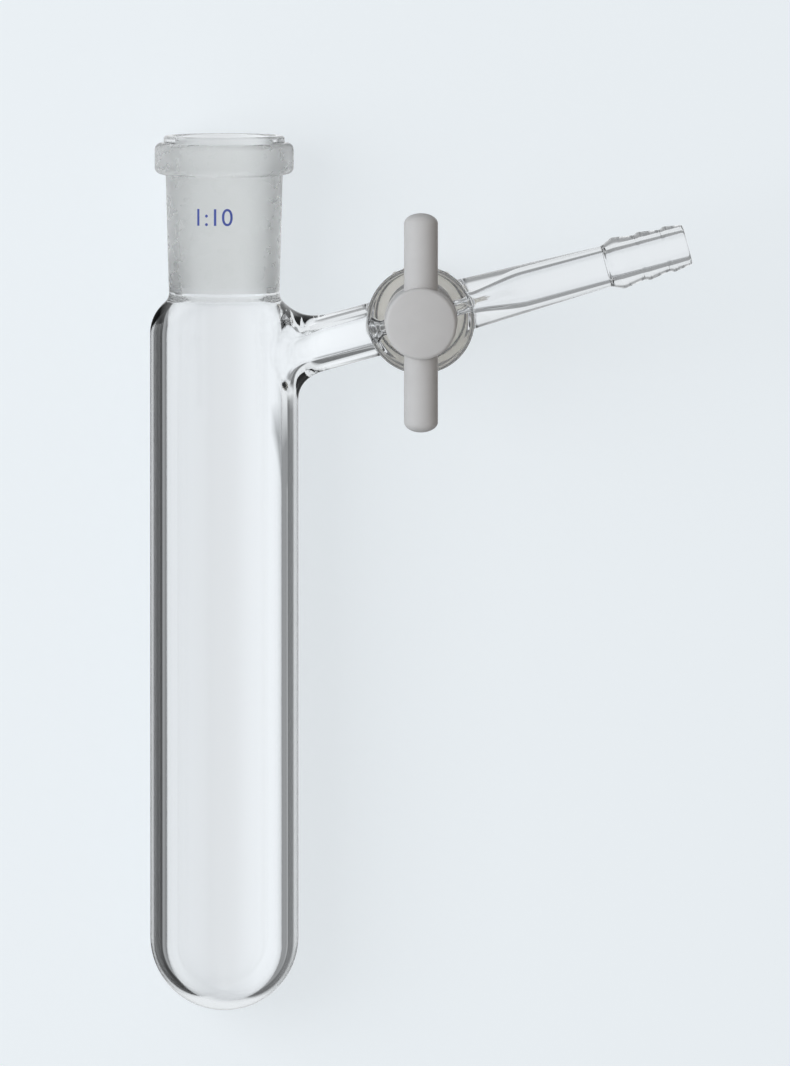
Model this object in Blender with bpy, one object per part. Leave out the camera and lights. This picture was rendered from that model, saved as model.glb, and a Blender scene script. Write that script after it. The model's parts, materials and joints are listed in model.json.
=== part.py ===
"""Side-arm reaction tube with a ground socket and a turned stopcock, lying on a table.

The glass is drawn in a frame of its own: the tube runs along +Y from its round end to its
mouth, the side arm leaves towards +X and the stopcock's key points along +Z. One empty then
rolls everything about the tube's axis until the tube and the retaining nut both touch the
table at z = 0. Lengths are in metres, written in millimetres times MM.
"""

import bpy
import bmesh
from math import acos, asin, atan2, cos, pi, radians, sin, sqrt
from mathutils import Matrix, Vector

MM = 0.001

# Body tube with its round bottom
TUBE_LENGTH = 168.5 * MM
TUBE_RADIUS = 14.25 * MM
TUBE_WALL = 3.1 * MM
BOTTOM_WALL = 2.0 * MM

# Shoulder: a convex and a concave arc, outside and inside
SHOULDER_ROUND = 8.0 * MM
SHOULDER_HOLLOW = 2.5 * MM
INNER_ROUND = 6.0 * MM
INNER_HOLLOW = 2.0 * MM

# Ground socket: bore of 1 in 10, neck, bead and fire-polished lip
SOCKET_SMALL_RADIUS = 8.1 * MM
SOCKET_TAPER = 1 / 10
GROUND_LENGTH = 28.8 * MM
NECK_WALL = 2.55 * MM
NECK_TAPER = 1 / 19
BEAD_HEIGHT = 6.0 * MM
BEAD_PROUD = 2.1 * MM
BEAD_ROUND = 1.3 * MM
LIP_HEIGHT = 1.4 * MM
LIP_PROUD = 0.4 * MM
LIP_ROUND = 0.6 * MM

# Side arm, which climbs towards the mouth
ARM_RISE = radians(15.2)
ARM_BELOW_SHOULDER = 7.0 * MM
INNER_ARM_RADIUS = 5.2 * MM
OUTER_ARM_RADIUS = 5.0 * MM
ARM_BORE_RADIUS = 2.8 * MM
BORE_MOUTH_RADIUS = 4.2 * MM
BORE_MOUTH_LENGTH = 4.0 * MM
ARM_LENGTH = 92.3 * MM

# Fused seals: how far each flare runs along the arm and over the glass it is fused to
TUBE_SEAL_ON_ARM = 5.4 * MM
TUBE_SEAL_ON_TUBE = 4.4 * MM
BARREL_SEAL_ON_ARM = 1.6 * MM
BARREL_SEAL_ON_BARREL = 1.6 * MM
SEAL_SINK = 0.15 * MM

# Hose end with three barbs, measured back from its tip
BARB_COUNT = 3
BARB_PITCH = 5.0 * MM
LAST_CREST_FROM_TIP = 3.6 * MM
LAST_CREST_RADIUS = 4.5 * MM
CREST_STEP = 0.28 * MM
CREST_DROP = 0.65 * MM
BARB_RISE_LENGTH = 1.5 * MM
HOSE_NECK_RADIUS = 4.0 * MM
HOSE_BORE_RADIUS = 2.5 * MM
TIP_ROUND = 0.4 * MM

# Stopcock barrel: where it stands on the arm, its outside and its conical seat of 1 in 5
BARREL_FROM_TUBE_AXIS = 37.8 * MM
BARREL_FRONT = 14.0 * MM
BARREL_REAR = 16.0 * MM
BARREL_FRONT_RADIUS = 9.9 * MM
BARREL_REAR_RADIUS = 8.3 * MM
BARREL_LIP_PROUD = 0.45 * MM
BARREL_LIP_LENGTH = 3.0 * MM
BARREL_EDGE_ROUND = 0.9 * MM
SEAT_RADIUS = 5.6 * MM
SEAT_TAPER = 1 / 5
PORT_RADIUS = 1.5 * MM
INNER_PORT_TAPER = 1.5 * MM
OUTER_PORT_TAPER = 8.0 * MM

# Key: conical plug, hub with a cross handle, and a threaded stud behind
SEAT_CLEARANCE = 0.08 * MM
PLUG_PROUD = 1.0 * MM
PLUG_RECESS = 1.2 * MM
KEY_BORE_RADIUS = 1.25 * MM
HUB_RADIUS = 6.85 * MM
HUB_FRONT = 30.5 * MM
HUB_DOME = 0.7 * MM
HUB_ROUND = 0.9 * MM
HANDLE_FORWARD = 24.4 * MM
HANDLE_RADIUS = 3.25 * MM
HANDLE_LENGTH = 42.0 * MM
HANDLE_DOME = 2.0 * MM
STUD_RADIUS = 3.0 * MM
STUD_FLAT = 2.4 * MM
STUD_PROUD = 2.0 * MM
STUD_CHAMFER = 0.4 * MM

# Stack that holds the key in its seat, from the barrel backwards
STACK_GAP = 0.3 * MM
STUD_CLEARANCE = 0.3 * MM
WASHER_RADIUS = 6.6 * MM
WASHER_THICKNESS = 1.5 * MM
O_RING_CORD = 2.4 * MM
NUT_RADIUS = 9.0 * MM
NUT_THICKNESS = 6.0 * MM
NUT_CHAMFER = 0.6 * MM
NUT_RIBS = 20
NUT_RIB_DEPTH = 0.5 * MM

# Facets
TUBE_SEGMENTS = 48
ARM_SEGMENTS = 32
BORE_SEGMENTS = 24
KEY_SEGMENTS = 48
ARC_STEPS = 10
ROUND_STEPS = 3
SEAL_STEPS = 7

# Heights along the tube, worked out from its mouth down
GROUND_TOP = TUBE_LENGTH - LIP_HEIGHT
GROUND_BOTTOM = GROUND_TOP - GROUND_LENGTH
CAVITY_RADIUS = TUBE_RADIUS - TUBE_WALL
NECK_RADIUS = SOCKET_SMALL_RADIUS + NECK_WALL
NECK_TOP_RADIUS = NECK_RADIUS + (GROUND_LENGTH - BEAD_HEIGHT) * NECK_TAPER / 2
SOCKET_TOP_RADIUS = SOCKET_SMALL_RADIUS + GROUND_LENGTH * SOCKET_TAPER / 2

# Directions of the side arm in the glass's own frame
ARM_ALONG = Vector((cos(ARM_RISE), sin(ARM_RISE), 0))
ARM_UP = Vector((-sin(ARM_RISE), cos(ARM_RISE), 0))
ARM_SIDE = Vector((0, 0, 1))
BARREL_ON_ARM = BARREL_FROM_TUBE_AXIS / cos(ARM_RISE)

# Places behind the barrel along the key's axis, negative towards the nut
WASHER_FRONT = -BARREL_REAR - STACK_GAP
WASHER_BACK = WASHER_FRONT - WASHER_THICKNESS
O_RING_MIDDLE = WASHER_BACK - STACK_GAP - O_RING_CORD / 2
NUT_FRONT = O_RING_MIDDLE - O_RING_CORD / 2 - STACK_GAP
NUT_BACK = NUT_FRONT - NUT_THICKNESS
STUD_END = NUT_BACK - STUD_PROUD


class Shoulder:
    """Two tangent arcs that take a turned outline from a wide to a narrow radius."""

    def __init__(self, wide, narrow, top, rounding, hollow):
        self.wide = wide
        self.narrow = narrow
        self.rounding = rounding
        self.hollow = hollow
        self.turn = acos(1 - (wide - narrow) / (rounding + hollow))
        self.length = (rounding + hollow) * sin(self.turn)
        self.start = top - self.length

    def radius(self, height):
        climbed = height - self.start
        if climbed <= 0:
            return self.wide
        if climbed <= self.rounding * sin(self.turn):
            return self.wide - self.rounding + sqrt(self.rounding ** 2 - climbed ** 2)
        if climbed >= self.length:
            return self.narrow
        return self.narrow + self.hollow - sqrt(self.hollow ** 2 - (self.length - climbed) ** 2)

    def points(self, steps):
        outline = []
        for step in range(steps + 1):
            angle = self.turn * step / steps
            outline.append((self.wide - self.rounding * (1 - cos(angle)),
                            self.start + self.rounding * sin(angle)))
        for step in range(steps - 1, -1, -1):
            angle = self.turn * step / steps
            outline.append((self.narrow + self.hollow * (1 - cos(angle)),
                            self.start + self.length - self.hollow * sin(angle)))
        return outline


OUTSIDE = Shoulder(TUBE_RADIUS, NECK_RADIUS, GROUND_BOTTOM, SHOULDER_ROUND, SHOULDER_HOLLOW)
INSIDE = Shoulder(CAVITY_RADIUS, SOCKET_SMALL_RADIUS, GROUND_BOTTOM, INNER_ROUND, INNER_HOLLOW)
ARM_HEIGHT = OUTSIDE.start - ARM_BELOW_SHOULDER
BARREL_CENTRE = Vector((0, ARM_HEIGHT, 0)) + ARM_ALONG * BARREL_ON_ARM

# A shape turned about Z is laid along the tube or along the arm by these
ALONG_TUBE = Matrix.Rotation(radians(-90), 4, 'X')
ALONG_ARM = (Matrix.Translation((0, ARM_HEIGHT, 0)) @ Matrix.Rotation(ARM_RISE, 4, 'Z')
             @ Matrix.Rotation(radians(90), 4, 'Y'))
AT_BARREL = Matrix.Translation(BARREL_CENTRE)


def resting_roll():
    """Roll about the tube's axis at which tube and nut both touch the table."""
    reach = BARREL_FROM_TUBE_AXIS - (NUT_RADIUS - NUT_CHAMFER)
    depth = -NUT_BACK
    return atan2(depth, reach) - asin(TUBE_RADIUS / sqrt(reach ** 2 + depth ** 2))


def resting_offset(roll):
    """Shift that centres the rolled glass over the origin, with the table at z = 0."""
    lean = cos(ARM_RISE) * cos(roll)
    face_radius = LAST_CREST_RADIUS - CREST_DROP - TIP_ROUND
    far = (ARM_LENGTH - TIP_ROUND) * lean + face_radius * sqrt(1 - lean ** 2) + TIP_ROUND
    return Vector(((TUBE_RADIUS - far) / 2, -TUBE_LENGTH / 2, TUBE_RADIUS))


def clear_scene():
    for old in list(bpy.data.objects):
        bpy.data.objects.remove(old, do_unlink=True)


def make_material(name, colour, roughness, see_through=0.0):
    material = bpy.data.materials.new(name)
    material.use_nodes = True
    shader = material.node_tree.nodes["Principled BSDF"]
    shader.inputs["Base Color"].default_value = (*colour, 1.0)
    shader.inputs["Roughness"].default_value = roughness
    shader.inputs["Metallic"].default_value = 0.0
    shader.inputs["Transmission Weight"].default_value = see_through
    return material


def add_object(name, bm, parent, material=None):
    """Closes a bmesh into a named object, faces pointing out, under its parent empty."""
    bmesh.ops.recalc_face_normals(bm, faces=bm.faces)
    mesh = bpy.data.meshes.new(name)
    bm.to_mesh(mesh)
    bm.free()
    mesh.shade_smooth()
    mesh.set_sharp_from_angle(angle=radians(30))
    made = bpy.data.objects.new(name, mesh)
    bpy.context.collection.objects.link(made)
    made.parent = parent
    if material is not None:
        mesh.materials.append(material)
    return made


def arc(centre, radius, start, end, steps):
    """Points of a turned outline along an arc, angles in degrees from the radial direction."""
    points = []
    for step in range(steps + 1):
        angle = radians(start + (end - start) * step / steps)
        points.append((centre[0] + radius * cos(angle), centre[1] + radius * sin(angle)))
    return points


def turned(outline, segments, placing=Matrix(), closed=False):
    """Turns an outline of (radius, height) points about Z, then places it."""
    bm = bmesh.new()
    verts = [bm.verts.new((radius, 0, height)) for radius, height in outline]
    edges = [bm.edges.new(pair) for pair in zip(verts, verts[1:])]
    if closed:
        edges.append(bm.edges.new((verts[-1], verts[0])))
    bmesh.ops.spin(bm, geom=verts + edges, cent=(0, 0, 0), axis=(0, 0, 1), angle=2 * pi,
                   steps=segments, use_merge=True)
    bmesh.ops.remove_doubles(bm, verts=bm.verts, dist=1e-7)
    bmesh.ops.transform(bm, matrix=placing, verts=bm.verts)
    return bm


def lofted(rings, closed=False):
    """Skins rings of equal count; the ends are capped, or joined when the loft is closed."""
    bm = bmesh.new()
    loops = [[bm.verts.new(point) for point in ring] for ring in rings]
    pairs = list(zip(loops, loops[1:]))
    if closed:
        pairs.append((loops[-1], loops[0]))
    else:
        bm.faces.new(loops[0])
        bm.faces.new(loops[-1])
    for lower, upper in pairs:
        for index in range(len(lower)):
            after = (index + 1) % len(lower)
            bm.faces.new((lower[index], lower[after], upper[after], upper[index]))
    return bm


def boolean(target, tool, operation):
    """Adds one exact Boolean step and hides the tool that it uses."""
    step = target.modifiers.new(tool.name, 'BOOLEAN')
    step.operation = operation
    step.solver = 'EXACT'
    step.object = tool
    tool.hide_render = True
    tool.display_type = 'WIRE'


def tube_outline():
    """Outside of tube, shoulder, neck, bead and lip, from the bottom pole to the rim."""
    bead_radius = NECK_TOP_RADIUS + BEAD_PROUD
    bead_bottom = GROUND_TOP - BEAD_HEIGHT
    lip_radius = NECK_TOP_RADIUS + LIP_PROUD
    outline = arc((0, TUBE_RADIUS), TUBE_RADIUS, -90, 0, ARC_STEPS)
    outline[0] = (0, 0)
    outline += OUTSIDE.points(ROUND_STEPS + 1)
    outline.append((NECK_TOP_RADIUS, bead_bottom))
    outline += arc((bead_radius - BEAD_ROUND, bead_bottom + BEAD_ROUND), BEAD_ROUND, -60, 0, ROUND_STEPS)
    outline += arc((bead_radius - BEAD_ROUND, GROUND_TOP - BEAD_ROUND), BEAD_ROUND, 0, 90, ROUND_STEPS)
    outline.append((lip_radius, GROUND_TOP))
    outline += arc((lip_radius - LIP_ROUND, TUBE_LENGTH - LIP_ROUND), LIP_ROUND, 0, 90, ROUND_STEPS)
    outline.append((0, TUBE_LENGTH))
    return outline


def cavity_outline():
    """Inside of the tube, shoulder and ground socket, running out past the rim."""
    mouth_radius = SOCKET_TOP_RADIUS + LIP_ROUND
    outline = arc((0, BOTTOM_WALL + CAVITY_RADIUS), CAVITY_RADIUS, -90, 0, ARC_STEPS)
    outline[0] = (0, BOTTOM_WALL)
    outline += INSIDE.points(ROUND_STEPS + 1)
    outline += arc((mouth_radius, TUBE_LENGTH - LIP_ROUND), LIP_ROUND, 180, 90, ROUND_STEPS)
    outline.append((mouth_radius, TUBE_LENGTH + LIP_HEIGHT))
    outline.append((0, TUBE_LENGTH + LIP_HEIGHT))
    return outline


def above_tube(point):
    """Distance of a point outside the tube's turned outline, measured across its axis."""
    return sqrt(point.x ** 2 + point.z ** 2) - OUTSIDE.radius(point.y)


def barrel_radius(forward):
    """Plain outside radius of the barrel at a distance in front of the arm's axis."""
    share = (forward + BARREL_REAR) / (BARREL_FRONT + BARREL_REAR)
    return BARREL_REAR_RADIUS + (BARREL_FRONT_RADIUS - BARREL_REAR_RADIUS) * share


def above_barrel(point):
    """Distance of a point outside the barrel, measured across the key's axis."""
    offset = point - BARREL_CENTRE
    return sqrt(offset.x ** 2 + offset.y ** 2) - barrel_radius(offset.z)


def surface_normal(height_above, point):
    """Outward unit normal of a surface given by its height function."""
    probe = 0.01 * MM
    slopes = []
    for axis in range(3):
        shift = Vector((0, 0, 0))
        shift[axis] = probe
        slopes.append(height_above(point + shift) - height_above(point - shift))
    return Vector(slopes).normalized()


def first_touch(start, heading, reach, height_above):
    """Point where a straight line from outside first meets a surface."""
    outside, inside = 0.0, reach
    for _ in range(40):
        middle = (outside + inside) / 2
        if height_above(start + heading * middle) > 0:
            outside = middle
        else:
            inside = middle
    return start + heading * inside


def sunk_onto(point, height_above):
    """Moves a point across a surface until it lies just under it."""
    for _ in range(6):
        point = point - surface_normal(height_above, point) * (height_above(point) + SEAL_SINK)
    return point


def arm_ring(along, radius):
    """Ring of points round the side arm's axis."""
    centre = Vector((0, ARM_HEIGHT, 0)) + ARM_ALONG * along
    ring = []
    for index in range(ARM_SEGMENTS):
        angle = 2 * pi * index / ARM_SEGMENTS
        ring.append(centre + (ARM_UP * cos(angle) + ARM_SIDE * sin(angle)) * radius)
    return ring


def seal_rings(begin, heading, radius, height_above, on_arm, on_body):
    """Rings of a fused seal: each line along the arm curves out until it lies on the body.

    The curve leaves the arm along the arm and lands tangent to the body, with its bend at
    the place where the arm's line cuts the plane that touches the body at the landing.
    """
    rings = [[] for _ in range(SEAL_STEPS + 1)]
    centre = Vector((0, ARM_HEIGHT, 0)) + ARM_ALONG * begin
    reach = TUBE_RADIUS + BARREL_FRONT_RADIUS
    for start in arm_ring(begin, radius):
        outward = (start - centre).normalized()
        touch = first_touch(start, heading, reach, height_above)
        normal = surface_normal(height_above, touch)
        across = (outward - normal * outward.dot(normal)).normalized()
        landing = sunk_onto(touch + across * on_body, height_above)
        facing = surface_normal(height_above, landing)
        bend = start + heading * ((landing - start).dot(facing) / heading.dot(facing))
        leave = bend - heading * on_arm
        for step, ring in enumerate(rings):
            share = step / SEAL_STEPS
            ring.append(leave * (1 - share) ** 2 + bend * 2 * share * (1 - share) + landing * share ** 2)
    return rings


def inner_arm():
    """Arm between tube and barrel, flared onto both."""
    middle = (TUBE_RADIUS + BARREL_ON_ARM - barrel_radius(0)) / 2
    to_tube = seal_rings(middle, -ARM_ALONG, INNER_ARM_RADIUS, above_tube,
                         TUBE_SEAL_ON_ARM, TUBE_SEAL_ON_TUBE)
    to_barrel = seal_rings(middle, ARM_ALONG, INNER_ARM_RADIUS, above_barrel,
                           BARREL_SEAL_ON_ARM, BARREL_SEAL_ON_BARREL)
    inside_tube = arm_ring(CAVITY_RADIUS, ARM_BORE_RADIUS)
    inside_barrel = arm_ring(BARREL_ON_ARM - SEAT_RADIUS, ARM_BORE_RADIUS)
    return lofted([inside_tube] + to_tube[::-1] + to_barrel + [inside_barrel])


def hose_end_outline():
    """Outside of the hose end as (distance along the arm, radius), seal to tip."""
    outline = []
    for number in range(BARB_COUNT):
        ahead = BARB_COUNT - 1 - number
        crest = ARM_LENGTH - LAST_CREST_FROM_TIP - ahead * BARB_PITCH
        crest_radius = LAST_CREST_RADIUS + ahead * CREST_STEP
        fall = BARB_PITCH - BARB_RISE_LENGTH
        if number == 0:
            outline.append((crest - fall, HOSE_NECK_RADIUS))
            outline.append((crest - BARB_RISE_LENGTH, crest_radius - CREST_DROP))
        outline.append((crest - BARB_RISE_LENGTH / 3, crest_radius - CREST_DROP / 5))
        outline.append((crest, crest_radius))
        outline.append((crest + fall / 2, crest_radius - CREST_DROP / 4))
        if ahead > 0:
            outline.append((crest + fall, crest_radius - CREST_DROP))
    tip_radius = LAST_CREST_RADIUS - CREST_DROP
    for radius, along in arc((tip_radius - TIP_ROUND, ARM_LENGTH - TIP_ROUND), TIP_ROUND, 0, 90, ROUND_STEPS):
        outline.append((along, radius))
    return outline


def outer_arm():
    """Arm from the barrel to the tip of the hose end."""
    begin = BARREL_ON_ARM + 2 * BARREL_FRONT_RADIUS
    from_barrel = seal_rings(begin, -ARM_ALONG, OUTER_ARM_RADIUS, above_barrel,
                             BARREL_SEAL_ON_ARM, BARREL_SEAL_ON_BARREL)
    inside_barrel = arm_ring(BARREL_ON_ARM + SEAT_RADIUS, ARM_BORE_RADIUS)
    rings = [inside_barrel] + from_barrel[::-1]
    for along, radius in hose_end_outline():
        rings.append(arm_ring(along, radius))
    return lofted(rings)


def barrel_outline():
    """Outside of the stopcock barrel, with a thickened lip at both ends."""
    outline = [(0, -BARREL_REAR)]
    rear = BARREL_REAR_RADIUS + BARREL_LIP_PROUD / 2
    outline += arc((rear - BARREL_EDGE_ROUND, BARREL_EDGE_ROUND - BARREL_REAR), BARREL_EDGE_ROUND,
                   -90, 0, ROUND_STEPS)
    for forward in (BARREL_LIP_LENGTH - BARREL_REAR, BARREL_FRONT - BARREL_LIP_LENGTH):
        outline.append((barrel_radius(forward), forward))
    front = BARREL_FRONT_RADIUS + BARREL_LIP_PROUD
    outline += arc((front - BARREL_EDGE_ROUND, BARREL_FRONT - BARREL_EDGE_ROUND), BARREL_EDGE_ROUND,
                   0, 90, ROUND_STEPS)
    outline.append((0, BARREL_FRONT))
    return outline


def passage_outline():
    """Bore from the cavity through the barrel to the tip, one cut along the arm.

    Blowing opens its mouth into the tube, and it is narrow at the key's seat, with a longer
    taper on the outer side, where the arm was pulled onto the barrel.
    """
    wall = CAVITY_RADIUS / cos(ARM_RISE)
    port_in = BARREL_ON_ARM - barrel_radius(0)
    port_out = BARREL_ON_ARM + barrel_radius(0)
    hose_end = hose_end_outline()[0][0]
    outline = [(0, wall / 2), (BORE_MOUTH_RADIUS, wall / 2)]
    for step in range(ROUND_STEPS + 2):
        share = step / (ROUND_STEPS + 1)
        narrowing = (1 - cos(pi * share)) / 2
        outline.append((BORE_MOUTH_RADIUS + (ARM_BORE_RADIUS - BORE_MOUTH_RADIUS) * narrowing,
                        wall + BORE_MOUTH_LENGTH * share))
    outline += [(ARM_BORE_RADIUS, port_in), (PORT_RADIUS, port_in + INNER_PORT_TAPER)]
    outline += [(PORT_RADIUS, port_out), (ARM_BORE_RADIUS, port_out + OUTER_PORT_TAPER)]
    outline += [(ARM_BORE_RADIUS, hose_end), (HOSE_BORE_RADIUS, hose_end + BARB_PITCH / 2)]
    outline += [(HOSE_BORE_RADIUS, ARM_LENGTH + LIP_HEIGHT), (0, ARM_LENGTH + LIP_HEIGHT)]
    return outline


def seat_outline():
    """Conical seat, cut right through the barrel."""
    outline = []
    for forward in (-BARREL_REAR - LIP_HEIGHT, BARREL_FRONT + LIP_HEIGHT):
        outline.append((SEAT_RADIUS + forward * SEAT_TAPER / 2, forward))
    return [(0, outline[0][1])] + outline + [(0, outline[1][1])]


def make_glass(parent, material):
    """Tube, side arm, barrel and hose end, fused into one piece of glass."""
    body = add_object("glass_body", turned(tube_outline(), TUBE_SEGMENTS, ALONG_TUBE), parent, material)
    fused = {
        "inner_arm": inner_arm(),
        "barrel": turned(barrel_outline(), KEY_SEGMENTS, AT_BARREL),
        "outer_arm": outer_arm(),
    }
    hollowed = {
        "passage": turned(passage_outline(), BORE_SEGMENTS, ALONG_ARM),
        "cavity": turned(cavity_outline(), TUBE_SEGMENTS, ALONG_TUBE),
        "seat": turned(seat_outline(), KEY_SEGMENTS, AT_BARREL),
    }
    for name, bm in fused.items():
        boolean(body, add_object(name, bm, parent), 'UNION')
    for name, bm in hollowed.items():
        boolean(body, add_object(name, bm, parent), 'DIFFERENCE')
    return body


def key_outline():
    """Plug, hub and domed face of the key, turned about the key's axis."""
    outline = []
    for forward in (PLUG_RECESS - BARREL_REAR, BARREL_FRONT + PLUG_PROUD):
        outline.append((SEAT_RADIUS - SEAT_CLEARANCE + forward * SEAT_TAPER / 2, forward))
    shoulder = HUB_FRONT - HUB_DOME
    outline.append((HUB_RADIUS, BARREL_FRONT + PLUG_PROUD))
    outline += arc((HUB_RADIUS - HUB_ROUND, shoulder - HUB_ROUND), HUB_ROUND, 0, 60, ROUND_STEPS)
    outline.append((HUB_RADIUS * 0.55, shoulder + HUB_DOME * 0.7))
    outline.append((0, HUB_FRONT))
    return [(0, outline[0][1])] + outline


def handle_outline():
    """One rod right through the hub, with shallow domed ends."""
    half = HANDLE_LENGTH / 2
    outline = []
    for step in range(ROUND_STEPS + 2):
        angle = pi / 2 * step / (ROUND_STEPS + 1)
        outline.append((HANDLE_RADIUS * sin(angle), half - HANDLE_DOME * (1 - cos(angle))))
    return [(radius, -height) for radius, height in outline] + outline[::-1]


def stud_ring(radius, flat, forward):
    """Round section with one flat, which keeps the washer from turning on the stud."""
    half_chord = acos(flat / radius)
    ring = []
    for index in range(BORE_SEGMENTS + 1):
        angle = half_chord + (2 * pi - 2 * half_chord) * index / BORE_SEGMENTS
        ring.append(Vector((radius * cos(angle), radius * sin(angle), forward)))
    return ring


def stud():
    """Threaded end of the key; the fine thread itself is left off the solid."""
    end_flat = STUD_FLAT - STUD_CHAMFER
    rings = [stud_ring(STUD_RADIUS - STUD_CHAMFER, end_flat, STUD_END),
             stud_ring(STUD_RADIUS, STUD_FLAT, STUD_END + STUD_CHAMFER),
             stud_ring(STUD_RADIUS, STUD_FLAT, PLUG_RECESS - BARREL_REAR + STUD_RADIUS)]
    return lofted(rings)


def make_key(parent, material):
    """One-piece key, bored across in line with its handle, standing closed."""
    key = add_object("stopcock_key", turned(key_outline(), KEY_SEGMENTS), parent, material)
    handle_place = Matrix.Translation((0, 0, HANDLE_FORWARD)) @ ALONG_TUBE
    handle = turned(handle_outline(), BORE_SEGMENTS, handle_place)
    boolean(key, add_object("handle", handle, parent), 'UNION')
    boolean(key, add_object("stud", stud(), parent), 'UNION')
    reach = SEAT_RADIUS + LIP_HEIGHT
    bore = [(0, -reach), (KEY_BORE_RADIUS, -reach), (KEY_BORE_RADIUS, reach), (0, reach)]
    boolean(key, add_object("key_bore", turned(bore, BORE_SEGMENTS, ALONG_TUBE), parent), 'DIFFERENCE')
    return key


def make_washer(parent, material):
    """Flat washer that bears on the back of the barrel and turns with the key."""
    outline = [(0, WASHER_BACK), (WASHER_RADIUS, WASHER_BACK), (WASHER_RADIUS, WASHER_FRONT), (0, WASHER_FRONT)]
    washer = add_object("sealing_washer", turned(outline, KEY_SEGMENTS), parent, material)
    hole_radius = STUD_RADIUS + STUD_CLEARANCE
    hole_flat = STUD_FLAT + STUD_CLEARANCE
    ends = (WASHER_BACK - WASHER_THICKNESS, WASHER_FRONT + WASHER_THICKNESS)
    hole = lofted([stud_ring(hole_radius, hole_flat, end) for end in ends])
    boolean(washer, add_object("washer_hole", hole, parent), 'DIFFERENCE')
    return washer


def make_o_ring(parent, material):
    """Rubber ring between washer and nut, which gives the nut its spring."""
    cord = O_RING_CORD / 2
    section = arc((STUD_RADIUS + STUD_CLEARANCE + cord, O_RING_MIDDLE), cord, 0, 360, 12)[:-1]
    return add_object("o_ring", turned(section, KEY_SEGMENTS, closed=True), parent, material)


def ribbed_ring(radius, depth, forward):
    """Edge of the thumb nut: round-backed ribs with a groove between each two."""
    ring = []
    per_rib = 4
    for index in range(NUT_RIBS * per_rib):
        angle = pi + 2 * pi * index / (NUT_RIBS * per_rib)
        wave = (1 - cos(2 * pi * index / per_rib)) / 2
        ring.append(Vector((cos(angle), sin(angle), 0)) * (radius - depth * wave) + Vector((0, 0, forward)))
    return ring


def make_nut(parent, material):
    """Ribbed thumb nut on the stud; its outer edge is what rests on the table."""
    face_radius = NUT_RADIUS - NUT_CHAMFER
    bore_radius = STUD_RADIUS + STUD_CLEARANCE
    rings = [ribbed_ring(bore_radius, 0, NUT_BACK),
             ribbed_ring(face_radius, 0, NUT_BACK),
             ribbed_ring(NUT_RADIUS, NUT_RIB_DEPTH, NUT_BACK + NUT_CHAMFER),
             ribbed_ring(NUT_RADIUS, NUT_RIB_DEPTH, NUT_FRONT - NUT_CHAMFER),
             ribbed_ring(face_radius, 0, NUT_FRONT),
             ribbed_ring(bore_radius, 0, NUT_FRONT)]
    return add_object("retaining_nut", lofted(rings, closed=True), parent, material)


def add_empty(name, parent=None):
    empty = bpy.data.objects.new(name, None)
    bpy.context.collection.objects.link(empty)
    empty.parent = parent
    return empty


def build():
    clear_scene()
    glass = make_material("borosilicate glass", (0.86, 0.90, 0.92), 0.05, see_through=1.0)
    ptfe = make_material("white PTFE", (0.62, 0.61, 0.60), 0.4)
    rubber = make_material("black nitrile rubber", (0.02, 0.02, 0.02), 0.6)
    plastic = make_material("white moulded plastic", (0.70, 0.70, 0.69), 0.35)

    roll = resting_roll()
    resting = add_empty("resting_pose")
    resting.rotation_euler = (0, -roll, 0)
    resting.location = resting_offset(roll)
    key_axis = add_empty("key_axis", resting)
    key_axis.location = BARREL_CENTRE

    make_glass(resting, glass)
    make_key(key_axis, ptfe)
    make_washer(key_axis, ptfe)
    make_o_ring(key_axis, rubber)
    make_nut(key_axis, plastic)


build()
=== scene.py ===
# %% [markdown]
# # A side-arm reaction tube, dressed around its frame
# The frame gives every solid at its real size and place. This lesson makes the surfaces that the
# eye reads as laboratory glass, turned PTFE, rubber and moulded plastic. It starts by loading the
# frame.

# %% Load the frame
import json

import bmesh
import bpy
import numpy as np
from math import acos, atan2, cos, degrees, pi, radians, sin, sqrt
from mathutils import Matrix, Vector
from mathutils.geometry import delaunay_2d_cdt


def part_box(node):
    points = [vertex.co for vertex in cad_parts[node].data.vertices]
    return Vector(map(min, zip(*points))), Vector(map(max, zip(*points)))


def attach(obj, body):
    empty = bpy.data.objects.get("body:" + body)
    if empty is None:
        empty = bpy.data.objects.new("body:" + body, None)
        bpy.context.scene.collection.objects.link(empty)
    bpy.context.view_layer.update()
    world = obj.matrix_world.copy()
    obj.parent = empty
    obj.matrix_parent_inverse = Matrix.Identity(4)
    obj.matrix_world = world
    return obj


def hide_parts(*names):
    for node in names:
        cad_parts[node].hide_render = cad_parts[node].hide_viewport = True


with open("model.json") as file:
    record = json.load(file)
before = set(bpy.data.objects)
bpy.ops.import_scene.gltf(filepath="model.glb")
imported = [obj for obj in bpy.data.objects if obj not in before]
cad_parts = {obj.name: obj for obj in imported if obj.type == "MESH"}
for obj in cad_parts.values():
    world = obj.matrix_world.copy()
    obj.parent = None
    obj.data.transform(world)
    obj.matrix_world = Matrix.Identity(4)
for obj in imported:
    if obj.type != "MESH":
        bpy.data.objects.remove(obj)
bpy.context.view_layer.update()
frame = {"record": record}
MM = 0.001

# %% [markdown]
# ## The glass's own frame
# The tube lies rolled over, so that its stopcock nut touches the table. Shapes are far easier to
# draw upright, with the tube along Y, the arm towards X and the key along Z. The key's joint tells
# how far the glass is rolled, and the glass's box tells where the round end lies.

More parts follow.
